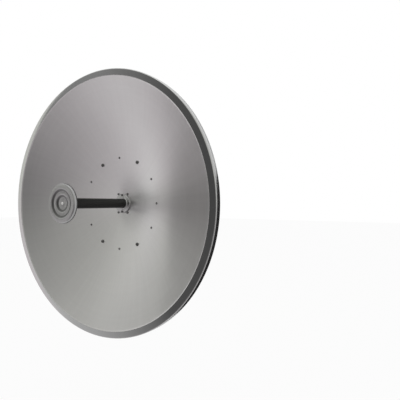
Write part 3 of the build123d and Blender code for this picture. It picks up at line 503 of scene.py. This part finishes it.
# The hub flange is a turned aluminium disc on the face with a short neck round the tube. Four socket
# screws hold it, and four smaller ones beside it go through the sheet into the collar behind.
TUBE_R = 17.0
HUB_R = 35.0
HUB_FRONT_Y = -147.0
HUB_CHAMFER = 1.2
HUB_NECK_R = 22.5
HUB_NECK_FOOT = 1.5
HUB_NECK = 2.0
HUB_SCREW_R = 30.5
HUB_SCREWS = 4
SIDE_SCREW_X = 22.0
SIDE_SCREW_Z = 34.0
SLIDE_GAP = 0.1
ARC_STEPS = 3
# The grey of the painted shade on the walls of the splash plate's steps, and the width of its soft edges.
STEP_WALL_SHADE = (0.15, 0.15, 0.15)
STEP_SHADE_EDGE = 2.0


def rounded(points, radius):
    """The (radius, distance) corners of an outline, each cut back to a small arc."""
    result = []
    for index, (r, along) in enumerate(points):
        here = Vector((r, along))
        before = Vector(points[index - 1]) - here
        after = Vector(points[(index + 1) % len(points)]) - here
        reach = min(radius, before.length * 0.45, after.length * 0.45)
        if r == 0 or reach < 0.02 or before.angle(after) > math.radians(172):
            result.append((r, along))
            continue
        start = here + before.normalized() * reach
        end = here + after.normalized() * reach
        for step in range(ARC_STEPS + 1):
            t = step / ARC_STEPS
            point = start * (1 - t) ** 2 + here * 2 * t * (1 - t) + end * t ** 2
            result.append((point.x, point.y))
    return result


def turned_finish(name, dark, light, roughness, shaded_bands=()):
    """Turned aluminium: fine tool rings round the dish's axis and a soft, uneven tone.

    Each of the bands, from one radius to another, is painted dark: painted shade on the sloping walls of
    steps.
    """
    lathed = Finish(name)
    x, y, z = lathed.split(lathed.place())
    across = (x * x + z * z).math("SQRT")
    rings = lathed.noise(lathed.join(x=across, y=y), 2200.0, detail=2.0)
    cloud = lathed.noise(lathed.place(), 30.0, detail=2.0)
    round_the_axis = lathed.add("ShaderNodeTangent", direction_type="UV_MAP", uv_map="turned")
    tone = lathed.mix((rings * 0.5 + cloud * 0.5).clamped(), dark, light)
    # Painted shade: each band darkens the tone where the wall of a step lies.
    for low, high in shaded_bands:
        inside = lathed.rise(across, low * MM, (low + STEP_SHADE_EDGE) * MM)
        outside = lathed.rise(across, (high - STEP_SHADE_EDGE) * MM, high * MM)
        tone = lathed.mix(inside - outside, tone, STEP_WALL_SHADE)
    return lathed.surface(tone, cloud * 0.1 + roughness, Anisotropic=0.5, Tangent=round_the_axis,
                          Normal=lathed.bump(rings, 0.1, 0.0002))


def socket_screw(radius, height, flats, deep, shank_r, length, under=0):
    """The outline of a screw with a round head above its seat, a hexagon socket and a plain shank."""
    corner = flats / math.sqrt(3)
    edge = 0.6
    return [(0, deep - height), (corner, deep - height, flats), (corner, 0.2 - height, flats),
            (corner + 0.25, -height), (radius - edge, -height), (radius, edge - height), (radius, under),
            (shank_r, under), (shank_r, length), (0, length)]


hub_metal = turned_finish("turned_hub", (0.38, 0.38, 0.38), (0.52, 0.52, 0.52), 0.3)
bore_r = TUBE_R + SLIDE_GAP
hub_outline = [(bore_r, dish_y(bore_r, -SEAT_GAP)), (HUB_R, dish_y(HUB_R, -SEAT_GAP)),
               (HUB_R, HUB_FRONT_Y + HUB_CHAMFER), (HUB_R - HUB_CHAMFER, HUB_FRONT_Y),
               (HUB_NECK_R + HUB_NECK_FOOT, HUB_FRONT_Y), (HUB_NECK_R, HUB_FRONT_Y - HUB_NECK),
               (bore_r, HUB_FRONT_Y - HUB_NECK)]
hub = turned("hub_disc", [(rounded(hub_outline, 0.5), CENTRE, BACKWARD)], hub_metal, segments=96)
fitted(hub, "dish", "cast_aluminium", "hub_flange")
screw_outline = socket_screw(radius=4.2, height=2.6, flats=3.0, deep=1.3, shank_r=2.4, length=14)
screw_seat = (0, HUB_FRONT_Y - SEAT_GAP, 0)
hub_screw = turned("hub_screw_shape", [(screw_outline, screw_seat, BACKWARD)], dull_metal)
hub_spots = on_circle(HUB_SCREWS, range(HUB_SCREWS))
hub_screws = copies("hub_screw_heads", hub_screw, dull_metal, hub_spots, HUB_SCREW_R)
fitted(hub_screws, "dish", "zinc_fixings", "hub_screws")
side_y = dish_y(math.hypot(SIDE_SCREW_X, SIDE_SCREW_Z))
screw_outline = socket_screw(radius=4.0, height=2.4, flats=2.5, deep=1.2, shank_r=1.9, length=10, under=0.8)
side_screw = turned("side_screw_shape", [(screw_outline, (0, side_y, 0), BACKWARD)], dull_metal)
side_spots = [((x, 0, z), 0) for x in (-SIDE_SCREW_X, SIDE_SCREW_X) for z in (-SIDE_SCREW_Z, SIDE_SCREW_Z)]
side_screws = copies("collar_screw_heads", side_screw, dull_metal, side_spots, 1)
fitted(side_screws, "dish", "zinc_fixings", "collar_screws")


# Behind the sheet the feed sits in a cast collar: a round base and a split boss, drawn together on the
# tube by one M8 bolt and nut through its two lugs.
COLLAR_BOLT_Y = -117.0
COLLAR_BOLT_Z = -35.6
COLLAR_SEAT_X = 14.05
M8_R = 4.0
M8_PITCH = 1.25
M8_FLATS = 13.0
M8_NUT = 6.5
M8_BORE = 3.6
ACROSS = (1, 0, 0)


def hex_bolt(name, radius, pitch, flats, height, length, thread, seat):
    """A zinc-plated bolt across the dish: its chamfered hexagon head on a seat, its thread at its end."""
    corner = flats / math.sqrt(3)
    face_r = flats * 0.48
    slope = (corner - face_r) * 0.55
    outline = [(0, -height), (face_r, -height), (corner, slope - height, flats), (corner, -0.3, flats),
               (face_r, 0), (radius, 0)]
    outline += rows(radius, length - thread - pitch, length, pitch)
    obj = turned(name, [(outline, seat, ACROSS)], zinc_metal)
    return threaded(obj, zinc_metal, radius, pitch, seat, ACROSS, length - thread, length - THREAD_LEAD)


collar = softened("feed_collar", "split_collar", 0.5, cast_metal)
fitted(collar, "dish", "cast_aluminium", "feed_collar")
collar_bolt = hex_bolt("collar_clamp_bolt", M8_R, M8_PITCH, M8_FLATS, height=5.4, length=38.1, thread=14,
                       seat=(-COLLAR_SEAT_X, COLLAR_BOLT_Y, COLLAR_BOLT_Z))
fitted(collar_bolt, "dish", "zinc_fixings", "collar_bolt")
m8_nut = nut_outline(M8_FLATS, M8_NUT, M8_BORE)
nut_seat = (COLLAR_SEAT_X, COLLAR_BOLT_Y, COLLAR_BOLT_Z)
collar_nut = turned("collar_clamp_nut", [(m8_nut, nut_seat, ACROSS)], zinc_metal)
fitted(collar_nut, "dish", "zinc_fixings", "collar_nut")


# The feed tube is a drawn aluminium tube. Its near-black tone is painted shade: the bare tube looks dark
# from the camera because it mirrors dark surroundings. It slides and turns in the hub, and the collar
# behind the dish grips it.
TUBE_FRONT_Y = -420.0
TUBE_REAR_Y = -103.4
TUBE_IN_R = 15.5
dark = Finish("painted_shade_tube")
drawn = dark.noise(dark.place(scale=(1, 0.02, 1)), 700.0, detail=2.0)
cloud = dark.noise(dark.place(), 14.0)
# Painted shade: the near-black tone stands in for the dark surroundings that the bare tube mirrors.
tone = dark.mix((drawn * 0.5 + cloud * 0.5).clamped(), (0.038, 0.038, 0.037), (0.075, 0.075, 0.072))
shaded_tube_metal = dark.surface(tone, cloud * 0.12 + 0.3, Metallic=0.9, Normal=dark.bump(drawn, 0.08, 0.0002))
tube_outline = [(TUBE_IN_R, TUBE_FRONT_Y + SEAT_GAP), (TUBE_R, TUBE_FRONT_Y + SEAT_GAP),
                (TUBE_R, TUBE_REAR_Y), (TUBE_IN_R, TUBE_REAR_Y)]
tube = turned("feed_pipe", [(rounded(tube_outline, 0.25), CENTRE, BACKWARD)], shaded_tube_metal, segments=96)
fitted(tube, "feed", "dark_aluminium", "feed_tube")


# The splash plate is a turned aluminium disc with two steps in its face, a thin rounded edge, a conical
# back and a spigot that fits the tube. One bright socket screw holds it from the front.
PLATE_R = 63.5
PLATE_FRONT_Y = -441.5
STEP_ONE_Y = -437.3
STEP_TWO_Y = -433.1
PLUG_FRONT_Y = -408.0
# The radii of the two step walls that carry painted shade.
SHADED_STEP_WALLS = ((18.5, 27.5), (37.0, 46.0))
plug_r = TUBE_IN_R - SEAT_GAP
plate_outline = [(0, PLUG_FRONT_Y), (plug_r, PLUG_FRONT_Y), (plug_r, TUBE_FRONT_Y), (24, TUBE_FRONT_Y),
                 (26, -421), (PLATE_R - 1, -428.5), (PLATE_R, -430), (PLATE_R, -433.5),
                 (PLATE_R - 1.5, -438.3), (PLATE_R - 5, -441.1), (48.5, PLATE_FRONT_Y),
                 (46, PLATE_FRONT_Y + 0.8), (37.5, STEP_ONE_Y), (30, STEP_ONE_Y), (27.5, STEP_ONE_Y + 0.8),
                 (19, STEP_TWO_Y), (0, STEP_TWO_Y)]
plate_metal = turned_finish("turned_splash_plate", (0.30, 0.30, 0.30), (0.42, 0.42, 0.42), 0.28, SHADED_STEP_WALLS)
plate = turned("splash_disc", [(rounded(plate_outline, 0.8), CENTRE, BACKWARD)], plate_metal, segments=160)
fitted(plate, "feed", "turned_aluminium", "splash_plate")
bright_metal = plated_finish("bright_screw", (0.75, 0.75, 0.74), (0.90, 0.90, 0.89), 0.2)
screw_outline = socket_screw(radius=4.6, height=2.7, flats=3.0, deep=1.4, shank_r=1.95, length=12)
screw_seat = (0, STEP_TWO_Y - SEAT_GAP, 0)
plate_screw = turned("plate_screw", [(screw_outline, screw_seat, BACKWARD)], bright_metal, segments=36)
fitted(plate_screw, "feed", "zinc_fixings", "splash_screw")


# The tail plugs the tube's rear end and carries the coaxial jack in a recess: a turned aluminium body,
# a nickel-plated jack with its thread, a white PTFE insulator and a gold-plated socket contact.
TAIL_FRONT_Y = -118.0
TAIL_END_Y = -71.5
TAIL_R = 15.9
TAIL_CHAMFER = 0.8
RECESS_R = 13.6
RECESS_Y = -88.0
JACK_THREAD_R = 7.94
JACK_PITCH = 25.4 / 24
JACK_THREAD_Y = -84.95
JACK_ROWS = 42
JACK_SEAT_Y = -87.95
JACK_END_Y = -74.0
JACK_FLANGE_R = 12.7
INSULATOR_R = 4.6
INSULATOR_END_Y = -79.0
CONTACT_R = 1.55
CONTACT_END_Y = -75.5
CONTACT_BORE_R = 0.9
tail_outline = [(0, TAIL_FRONT_Y), (plug_r, TAIL_FRONT_Y), (plug_r, TUBE_REAR_Y + SEAT_GAP),
                (TAIL_R, TUBE_REAR_Y + SEAT_GAP), (TAIL_R, TAIL_END_Y - TAIL_CHAMFER),
                (TAIL_R - TAIL_CHAMFER, TAIL_END_Y), (RECESS_R, TAIL_END_Y), (RECESS_R, RECESS_Y),
                (0, RECESS_Y)]
tail_metal = turned_finish("turned_tail", (0.36, 0.36, 0.36), (0.50, 0.50, 0.50), 0.3)
feed_tail = turned("tail_body", [(rounded(tail_outline, 0.3), CENTRE, BACKWARD)], tail_metal, segments=72)
fitted(feed_tail, "feed", "turned_aluminium", "feed_tail")
nickel_metal = plated_finish("nickel_plate", (0.60, 0.57, 0.53), (0.72, 0.69, 0.65), 0.14)
jack_outline = [(INSULATOR_R, JACK_SEAT_Y), (JACK_FLANGE_R - 0.3, JACK_SEAT_Y),
                (JACK_FLANGE_R, JACK_SEAT_Y + 0.3), (JACK_FLANGE_R, JACK_THREAD_Y - 0.3),
                (JACK_FLANGE_R - 0.3, JACK_THREAD_Y)]
jack_outline += [(JACK_THREAD_R, JACK_THREAD_Y + 0.25 * i) for i in range(JACK_ROWS)]
jack_outline += [(7.5, JACK_END_Y), (6.9, JACK_END_Y), (6.9, -80), (INSULATOR_R, -80)]
jack = turned("coaxial_jack", [(jack_outline, CENTRE, BACKWARD)], nickel_metal, segments=48)
threaded(jack, nickel_metal, JACK_THREAD_R, JACK_PITCH, (0, JACK_SEAT_Y, 0), BACKWARD, start=4.2, end=13.3)
fitted(jack, "feed", "nickel_plate", "coax_jack")
white = Finish("white_ptfe")
cloud = white.noise(white.place(), 300.0)
ptfe = white.surface(white.mix(cloud, (0.80, 0.80, 0.78), (0.90, 0.90, 0.88)), cloud * 0.1 + 0.45,
                     Metallic=0.0, Normal=white.bump(cloud, 0.1, 0.0001))
insulator_outline = [(CONTACT_R + SEAT_GAP, JACK_SEAT_Y), (INSULATOR_R - SEAT_GAP, JACK_SEAT_Y),
                     (INSULATOR_R - SEAT_GAP, INSULATOR_END_Y), (CONTACT_R + SEAT_GAP, INSULATOR_END_Y)]
insulator = turned("jack_ptfe", [(rounded(insulator_outline, 0.2), CENTRE, BACKWARD)], ptfe, segments=36)
fitted(insulator, "feed", "ptfe", "jack_insulator")
gold_metal = plated_finish("gold_plate", (0.72, 0.52, 0.22), (0.83, 0.64, 0.31), 0.15)
contact_outline = [(0, JACK_SEAT_Y), (CONTACT_R, JACK_SEAT_Y), (CONTACT_R, CONTACT_END_Y - 0.3),
                   (CONTACT_R - 0.3, CONTACT_END_Y), (CONTACT_BORE_R, CONTACT_END_Y),
                   (CONTACT_BORE_R, INSULATOR_END_Y), (0, INSULATOR_END_Y)]
contact = turned("jack_pin", [(contact_outline, CENTRE, BACKWARD)], gold_metal)
fitted(contact, "feed", "gold_contact", "jack_contact")


# The yoke plates are pressed 4 mm steel, dipped in zinc: dull grey with a faint crystal pattern. They
# lie on the ring's back, held by the bolts' nuts, and their ears carry the pivot bolt.
def dipped_finish(name, dark, light, roughness):
    """Hot-dip zinc on steel: crystals, soft clouds and a fine grain, duller along its streaks."""
    dipped = Finish(name)
    crystal = dipped.add("ShaderNodeTexVoronoi", {"Vector": dipped.place(), "Scale": 110.0}, "Color")
    flake = dipped.add("ShaderNodeSeparateColor", {"Color": crystal})
    cloud = dipped.noise(dipped.place(), 18.0, detail=4.0)
    run = dipped.noise(dipped.place(scale=(1, 1, 0.12)), 120.0)
    grain = dipped.noise(dipped.place(), 700.0, detail=2.0)
    tone = dipped.mix((flake * 0.35 + cloud * 0.6 + run * 0.3 - 0.15).clamped(), dark, light)
    return dipped.surface(tone, flake * 0.12 + cloud * 0.15 + roughness, Metallic=0.85,
                          Normal=dipped.bump(grain, 0.15, 0.0003))


steel = dipped_finish("dipped_steel", (0.25, 0.25, 0.245), (0.40, 0.40, 0.39), 0.36)
for side in ("right", "left"):
    yoke = softened("yoke_plate_" + side, "yoke_" + side, 0.5, steel)
    fitted(yoke, "dish", "galvanised_steel", "yoke_plate_" + side)


# The rod clevis is a folded steel bracket, screwed to the ring's back near its top by two socket screws.
# An M8 bolt and nut through its ears hold the elevation rod's eye.
ROD_X = 52.0
PIN_Y = -120.0
PIN_Z = 157.5
CLEVIS_SEAT_X = 7.45
CLEVIS_SHEET = 3.0
CLEVIS_SCREW_X = 13.0
FORWARD = (0, -1, 0)
clevis_screw_y = RING_BACK_Y + CLEVIS_SHEET + SEAT_GAP
clevis = softened("rod_clevis", "clevis_bracket", 0.4, steel)
fitted(clevis, "dish", "galvanised_steel", "rod_clevis")
screw_outline = socket_screw(radius=4.2, height=3.4, flats=3.0, deep=1.8, shank_r=2.45, length=13)
clevis_screw = turned("clevis_screw_shape", [(screw_outline, CENTRE, FORWARD)], zinc_metal)
clevis_spots = [((ROD_X - CLEVIS_SCREW_X, clevis_screw_y, PIN_Z - 0.5), 0),
                ((ROD_X + CLEVIS_SCREW_X, clevis_screw_y, PIN_Z - 9.5), 0)]
clevis_screws = copies("clevis_screw_heads", clevis_screw, zinc_metal, clevis_spots, 1)
fitted(clevis_screws, "dish", "zinc_fixings", "clevis_screws")
clevis_bolt = hex_bolt("clevis_pin_bolt", M8_R, M8_PITCH, M8_FLATS, height=5.3, length=22.4, thread=9,
                       seat=(ROD_X - CLEVIS_SEAT_X, PIN_Y, PIN_Z))
fitted(clevis_bolt, "dish", "zinc_fixings", "clevis_bolt")
nut_seat = (ROD_X + CLEVIS_SEAT_X, PIN_Y, PIN_Z)
clevis_nut = turned("clevis_pin_nut", [(m8_nut, nut_seat, ACROSS)], zinc_metal)
fitted(clevis_nut, "dish", "zinc_fixings", "clevis_nut")


# The elevation rod is M8 steel rod, zinc plated, with an eye at its front end. Its thread runs nearly
# to the eye, so two nuts and washers set the dish's tilt at the slotted lug.
ROD_TILT_DEG = 2.5
EYE_R = 9.0
EYE_HALF = 3.0
ROD_START = 5.5
ROD_THREAD_START = 26.0
ROD_LENGTH = 205.8
LUG_FRONT_Y = -55.4
LUG_BACK_Y = -49.05
NUT_PLAY = 0.9
WASHER = 1.6


def washer_outline(radius, bore, thick):
    """A flat washer with its outer edges broken."""
    edge = 0.3
    return [(bore, 0), (radius - edge, 0), (radius, edge), (radius, thick - edge), (radius - edge, thick),
            (bore, thick)]


tilt = math.radians(ROD_TILT_DEG)
rod_way = Vector((0, math.cos(tilt), -math.sin(tilt)))
pin_at = Vector((ROD_X, PIN_Y, PIN_Z))
eye_outline = rounded([(M8_R + SLIDE_GAP, -EYE_HALF), (EYE_R, -EYE_HALF), (EYE_R, EYE_HALF),
                       (M8_R + SLIDE_GAP, EYE_HALF)], 0.6)
rod_outline = [(0, ROD_START), (M8_R, ROD_START)] + rows(M8_R, ROD_THREAD_START - 2, ROD_LENGTH, M8_PITCH)
rod = turned("threaded_rod", [(eye_outline, pin_at, ACROSS), (rod_outline, pin_at, rod_way)], zinc_metal)
threaded(rod, zinc_metal, M8_R, M8_PITCH, pin_at, rod_way, ROD_THREAD_START, ROD_LENGTH - THREAD_LEAD)
fitted(rod, "rod", "zinc_fixings", "elevation_rod")
washers = []
nuts = []
for start_y, side in ((LUG_FRONT_Y - NUT_PLAY, -1), (LUG_BACK_Y + NUT_PLAY, 1)):
    seat = pin_at + rod_way * ((start_y - PIN_Y) / rod_way.y)
    washers.append((washer_outline(8.5, M8_R + SLIDE_GAP, WASHER), seat, rod_way * side))
    seat = seat + rod_way * side * (WASHER + SEAT_GAP)
    nuts.append((nut_outline(M8_FLATS, M8_NUT, M8_R + SLIDE_GAP), seat, rod_way * side))
fitted(turned("tilt_washers", washers, zinc_metal), "nuts", "zinc_fixings", "adjuster_washers")
fitted(turned("tilt_nuts", nuts, zinc_metal), "nuts", "zinc_fixings", "adjuster_nuts")


# The clamp side is cut, folded and welded plate, dipped in zinc: the bracket's channel, four notched
# saddle plates welded across it, and the clamp plate with the slotted lug under the upper U-bolt.
saddle_steel = dipped_finish("dipped_saddle_steel", (0.20, 0.20, 0.195), (0.33, 0.33, 0.325), 0.38)
for node, name, width in (("mast_bracket", "welded_bracket", 0.5), ("notched_plates", "saddle_plates", 0.4),
                          ("clamp_plate", "slotted_clamp", 0.6)):
    fitted(softened(node, name, width, saddle_steel), "mast_mount", "galvanised_steel", node)


# The arm yoke is two side plates on a web, under the middle U-bolt, in a duller steel. The pivot bolt
# passes through its arms and the dish's ears, with a washer on each side of each ear.
PIVOT_Y = -108.8
PIVOT_Z = -61.5
PIVOT_R = 5.0
PIVOT_PITCH = 1.5
PIVOT_FLATS = 17.0
PIVOT_NUT = 8.4
PIVOT_BORE = 4.6
PIVOT_SEAT_X = 49.1

# The distance of each washer's seat from the middle, its thickness and its radius.
EAR_WASHER = (47.0, 2.0, 10.5)
ARM_WASHER = (42.0, 0.9, 10.0)

arm_steel = dipped_finish("dulled_arm_steel", (0.11, 0.11, 0.105), (0.21, 0.21, 0.20), 0.42)
fitted(softened("arm_yoke", "arm_pair", 0.6, arm_steel), "mast_mount", "galvanised_steel", "arm_yoke")
pivot_bolt = hex_bolt("hinge_bolt", PIVOT_R, PIVOT_PITCH, PIVOT_FLATS, height=6.9, length=110.1, thread=16,
                      seat=(-PIVOT_SEAT_X, PIVOT_Y, PIVOT_Z))
fitted(pivot_bolt, "mast_mount", "zinc_fixings", "pivot_bolt")
pivot_nut_outline = nut_outline(PIVOT_FLATS, PIVOT_NUT, PIVOT_BORE)
nut_seat = (PIVOT_SEAT_X, PIVOT_Y, PIVOT_Z)
pivot_nut = turned("hinge_nut", [(pivot_nut_outline, nut_seat, ACROSS)], zinc_metal, segments=36)
fitted(pivot_nut, "mast_mount", "zinc_fixings", "pivot_nut")
washers = []
for side in (-1, 1):
    for seat_x, thick, radius in (EAR_WASHER, ARM_WASHER):
        washers.append((washer_outline(radius, PIVOT_R + SLIDE_GAP, thick),
                        (side * (seat_x + SEAT_GAP), PIVOT_Y, PIVOT_Z), (side, 0, 0)))
pivot_washers = turned("hinge_washers", washers, zinc_metal, segments=36)
fitted(pivot_washers, "mast_mount", "zinc_fixings", "pivot_washers")


# Three U-bolts of M8 rod, bent cold and zinc plated, draw the saddles tight. Each leg is threaded and
# has a washer and a nut on the dish's side.
LEG_X = 29.7
LEG_END_Y = -88.0
LEG_THREAD = 42.0
LEG_WASHER_R = 8.0
U_STEPS = 32
ROD_SIDES = 24

# The name of each U-bolt, its height and the place of its washers' seats.
U_BOLTS = (("upper", 170.0, -55.45), ("middle", -59.0, -53.05), ("lower", -113.0, -49.05))


def bent_rod(name, z, finish):
    """A round rod bent to a U in one plane, with its ends chamfered and its legs threaded."""
    leg = [(LEG_END_Y, M8_R - THREAD_LEAD)]
    for row in range(round(LEG_THREAD / M8_PITCH * 4)):
        leg.append((LEG_END_Y + THREAD_LEAD + M8_PITCH / 4 * row, M8_R))
    path = [(LEG_X, y, 0, radius) for y, radius in leg]
    for step in range(U_STEPS + 1):
        a = math.pi * step / U_STEPS
        path.append((LEG_X * math.cos(a), LEG_X * math.sin(a), a, M8_R))
    path += [(-LEG_X, y, math.pi, radius) for y, radius in reversed(leg)]
    bm = bmesh.new()
    rings = []
    for x, y, way, radius in path:
        ring = []
        for step in range(ROD_SIDES):
            a = 2 * math.pi * step / ROD_SIDES
            out = radius * math.cos(a)
            point = Vector((x + out * math.cos(way), y + out * math.sin(way), z + radius * math.sin(a)))
            ring.append(bm.verts.new(point * MM))
        rings.append(ring)
    for ring, following in zip(rings, rings[1:]):
        for step in range(ROD_SIDES):
            after = (step + 1) % ROD_SIDES
            bm.faces.new((ring[step], ring[after], following[after], following[step]))
    bm.faces.new(rings[0])
    bm.faces.new(rings[-1])
    obj = mesh_object(name, bm, 35.0)
    for side in (-1, 1):
        foot = (side * LEG_X, LEG_END_Y, z)
        threaded(obj, finish, M8_R, M8_PITCH, foot, BACKWARD, THREAD_LEAD, LEG_THREAD - 1)
    return obj


washer_spots = []
nut_spots = []
for level, z, seat_y in U_BOLTS:
    u_bolt = bent_rod("u_rod_" + level, z, zinc_metal)
    fitted(u_bolt, "mast_mount", "zinc_fixings", "u_bolt_" + level)
    for x in (-LEG_X, LEG_X):
        washer_spots.append(((x, seat_y, z), 0))
        nut_spots.append(((x, seat_y - WASHER - SEAT_GAP, z), 0))
leg_washer_outline = washer_outline(LEG_WASHER_R, M8_R + SLIDE_GAP, WASHER)
leg_washer = turned("leg_washer_shape", [(leg_washer_outline, CENTRE, FORWARD)], zinc_metal)
leg_washers = copies("leg_washers", leg_washer, zinc_metal, washer_spots, 1)
fitted(leg_washers, "mast_mount", "zinc_fixings", "u_bolt_washers")
leg_nut = turned("leg_nut_shape", [(m8_nut, CENTRE, FORWARD)], zinc_metal)
leg_nuts = copies("leg_nuts", leg_nut, zinc_metal, nut_spots, 1)
fitted(leg_nuts, "mast_mount", "zinc_fixings", "u_bolt_nuts")


# The camera stands level with the dish's axis, in front and to the right of it, where the photograph
# was taken from. The lens is as long as the photograph's perspective asks.
FRAME_PX = 400
FOCAL_PX = 385.3
CENTRE_PX = (120, 203)
SENSOR_MM = 36
CAMERA_AT = (0.9209, -1.2290, 0.0012)
CAMERA_HEADING_DEG = 40.72

camera_data = bpy.data.cameras.new("camera")
camera_data.sensor_width = SENSOR_MM
camera_data.lens = FOCAL_PX / FRAME_PX * SENSOR_MM
camera_data.shift_x = (FRAME_PX / 2 - CENTRE_PX[0]) / FRAME_PX
camera_data.shift_y = (CENTRE_PX[1] - FRAME_PX / 2) / FRAME_PX
camera = new_object("camera", camera_data)
camera.location = CAMERA_AT
camera.rotation_euler = (math.radians(90), 0, math.radians(CAMERA_HEADING_DEG))
bpy.context.scene.camera = camera
bpy.context.scene.view_settings.view_transform = "Standard"


# The room is white, with one large soft lamp above the dish. Grey and black cards stand round the dish
# out of the picture, as for any bright metal, and only the metal sees them.
LAMP_AT = Vector((0.2, -0.9, 2.4))
LAMP_TOWARDS = Vector((0, -0.25, 0))
LAMP_SIZE = (1.8, 1.2)
LAMP_WATTS = 6
LOW_TINT = (1.03, 0.975, 1.0)
HIGH_TINT = (1.01, 1.015, 0.965)
TINT_HALF = 0.6

lamp_data = bpy.data.lights.new("top_lamp", "AREA")
lamp_data.shape = "RECTANGLE"
lamp_data.size, lamp_data.size_y = LAMP_SIZE
lamp_data.energy = LAMP_WATTS
lamp = new_object("top_lamp", lamp_data)
lamp.location = LAMP_AT
lamp.rotation_euler = (LAMP_TOWARDS - LAMP_AT).to_track_quat("-Z", "Y").to_euler()


def metal_only_card(name, corners, faces, nodes, colour, strength):
    """A lit card that casts no light or shadow of its own: only the metal mirrors it."""
    mesh = bpy.data.meshes.new(name)
    mesh.from_pydata(corners, [], faces)
    card = new_object(name, mesh)
    glow = nodes.add("ShaderNodeEmission", {"Color": colour, "Strength": strength})
    nodes.add("ShaderNodeOutputMaterial", {"Surface": glow})
    mesh.materials.append(nodes.data)
    card.visible_camera = False
    card.visible_diffuse = False
    card.visible_shadow = False


def studio_card(name, low_span, high_span, distance, low, high, stops):
    """A flat card, its greys running from the first direction of its spans to the second.

    The spans are at its lower and upper edges: directions round the dish, in degrees, 0 in front and
    positive to the left.
    """
    corners = []
    for span, order, z in ((low_span, 1, low), (high_span, -1, high)):
        reach = distance / math.cos(math.radians((span[1] - span[0]) / 2))
        for way in span[::order]:
            a = math.radians(way)
            corners.append((-reach * math.sin(a), -reach * math.cos(a), z))
    shade = Finish(name + "_shade")
    x, y, z = shade.split(shade.place())
    way = (x * -1).math("ARCTAN2", y * -1) * (180 / math.pi)
    sockets = {"Value": way, "From Min": low_span[0], "From Max": low_span[1]}
    share = shade.add("ShaderNodeMapRange", sockets)
    grey = shade.add("ShaderNodeValToRGB", {"Fac": share}, stops=stops)
    tint = shade.mix(shade.rise(z, -TINT_HALF, TINT_HALF), LOW_TINT, HIGH_TINT)
    metal_only_card(name, corners, [(0, 1, 2, 3)], shade, shade.vector("MULTIPLY", grey, tint), 1.0)


studio_card("front_low", (-70, 52), (-70, 46), distance=5.0, low=-9, high=0,
            stops=[(0.0, 0.37), (0.4, 0.38), (0.62, 0.42), (0.85, 0.68), (1.0, 0.95)])
studio_card("front_high", (-70, 52), (-70, 46), distance=5.0, low=0, high=9,
            stops=[(0.0, 0.95), (0.4, 0.74), (0.62, 0.56), (0.85, 0.68), (1.0, 0.95)])
studio_card("bright_card", (52, 84), (46, 50), distance=5.0, low=-4, high=9, stops=[(0.0, 1.0), (1.0, 1.0)])
studio_card("left_card", (84, 130), (50, 130), distance=4.5, low=-3, high=3,
            stops=[(0.0, 0.44), (1.0, 0.62)])
studio_card("dark_strip", (40, 59), (40, 59), distance=3.0, low=-0.22, high=0.22,
            stops=[(0.0, 0.3), (0.2, 0.02), (0.9, 0.02), (1.0, 0.3)])
studio_card("back_card", (160, 250), (160, 250), distance=4.0, low=-7.0, high=0.8,
            stops=[(0.0, 0.035), (1.0, 0.035)])


# A ring of card in front of the dish is what the flat flange mirrors: white at the left, black at the
# right. The bowl looks through the ring and past it.
RING_CARD_AT = (-0.892, -1.2, 0.0)
RING_CARD_RADII = (0.70, 1.12)
RING_CARD_SIDES = 64
RING_CARD_STRENGTH = 1.4
corners = []
for step in range(RING_CARD_SIDES):
    a = 2 * math.pi * step / RING_CARD_SIDES
    for radius in RING_CARD_RADII:
        corners.append((RING_CARD_AT[0] + radius * math.cos(a), RING_CARD_AT[1], radius * math.sin(a)))
count = len(corners)
faces = [(i, i + 1, (i + 3) % count, (i + 2) % count) for i in range(0, count, 2)]
shade = Finish("ring_card_shade")
x, y, z = shade.split(shade.place())
share = z.math("ARCTAN2", x - RING_CARD_AT[0]) / (2 * math.pi) + 0.5
ring_stops = [(0.0, 1.0), (0.07, 0.95), (0.125, 0.66), (0.25, 0.5), (0.375, 0.107), (0.5, 0.08),
              (0.625, 0.107), (0.75, 0.29), (0.875, 0.28), (0.94, 0.8), (1.0, 1.0)]
grey = shade.add("ShaderNodeValToRGB", {"Fac": share}, stops=ring_stops)
metal_only_card("ring_card", corners, faces, shade, grey, RING_CARD_STRENGTH)


# The surround and the paper floor are white to the camera. The dish is lit by them as a pale grey, the
# floor keeps its shadow, and the metal mirrors the surround and the cards but not the floor.
FLOOR_Z = -0.9
FLOOR_HALF = 20
FLOOR_OWN_LIGHT = 0.92


def seen_directly(nodes):
    """1 for rays from the camera, a mirror or glass, and 0 for light that falls on the object."""
    rays = nodes.add("ShaderNodeLightPath", out="Is Camera Ray")
    mirrored = rays.math("MAXIMUM", rays.other("Is Glossy Ray"))
    return mirrored.math("MAXIMUM", rays.other("Is Transmission Ray"))


surround = Finish("surround", world=True)
shown = surround.mix(seen_directly(surround), (0.7, 0.7, 0.7), (1.0, 1.0, 1.0))
surround.add("ShaderNodeOutputWorld", {"Surface": surround.add("ShaderNodeBackground", {"Color": shown})})
bpy.context.scene.world = surround.data
mesh = bpy.data.meshes.new("floor")
floor_corners = [(x * FLOOR_HALF, y * FLOOR_HALF, FLOOR_Z) for x, y in ((-1, -1), (1, -1), (1, 1), (-1, 1))]
mesh.from_pydata(floor_corners, [], [(0, 1, 2, 3)])
floor = new_object("floor", mesh)
floor.visible_glossy = False
paper = Finish("paper_floor")
lit = paper.add("ShaderNodeBsdfDiffuse", {"Color": (0.9, 0.9, 0.9)})
glow = paper.add("ShaderNodeEmission", {"Color": (1.0, 1.0, 1.0), "Strength": 1.0})
both = paper.add("ShaderNodeMixShader", {0: seen_directly(paper) * FLOOR_OWN_LIGHT, 1: lit, 2: glow})
paper.add("ShaderNodeOutputMaterial", {"Surface": both})
mesh.materials.append(paper.data)
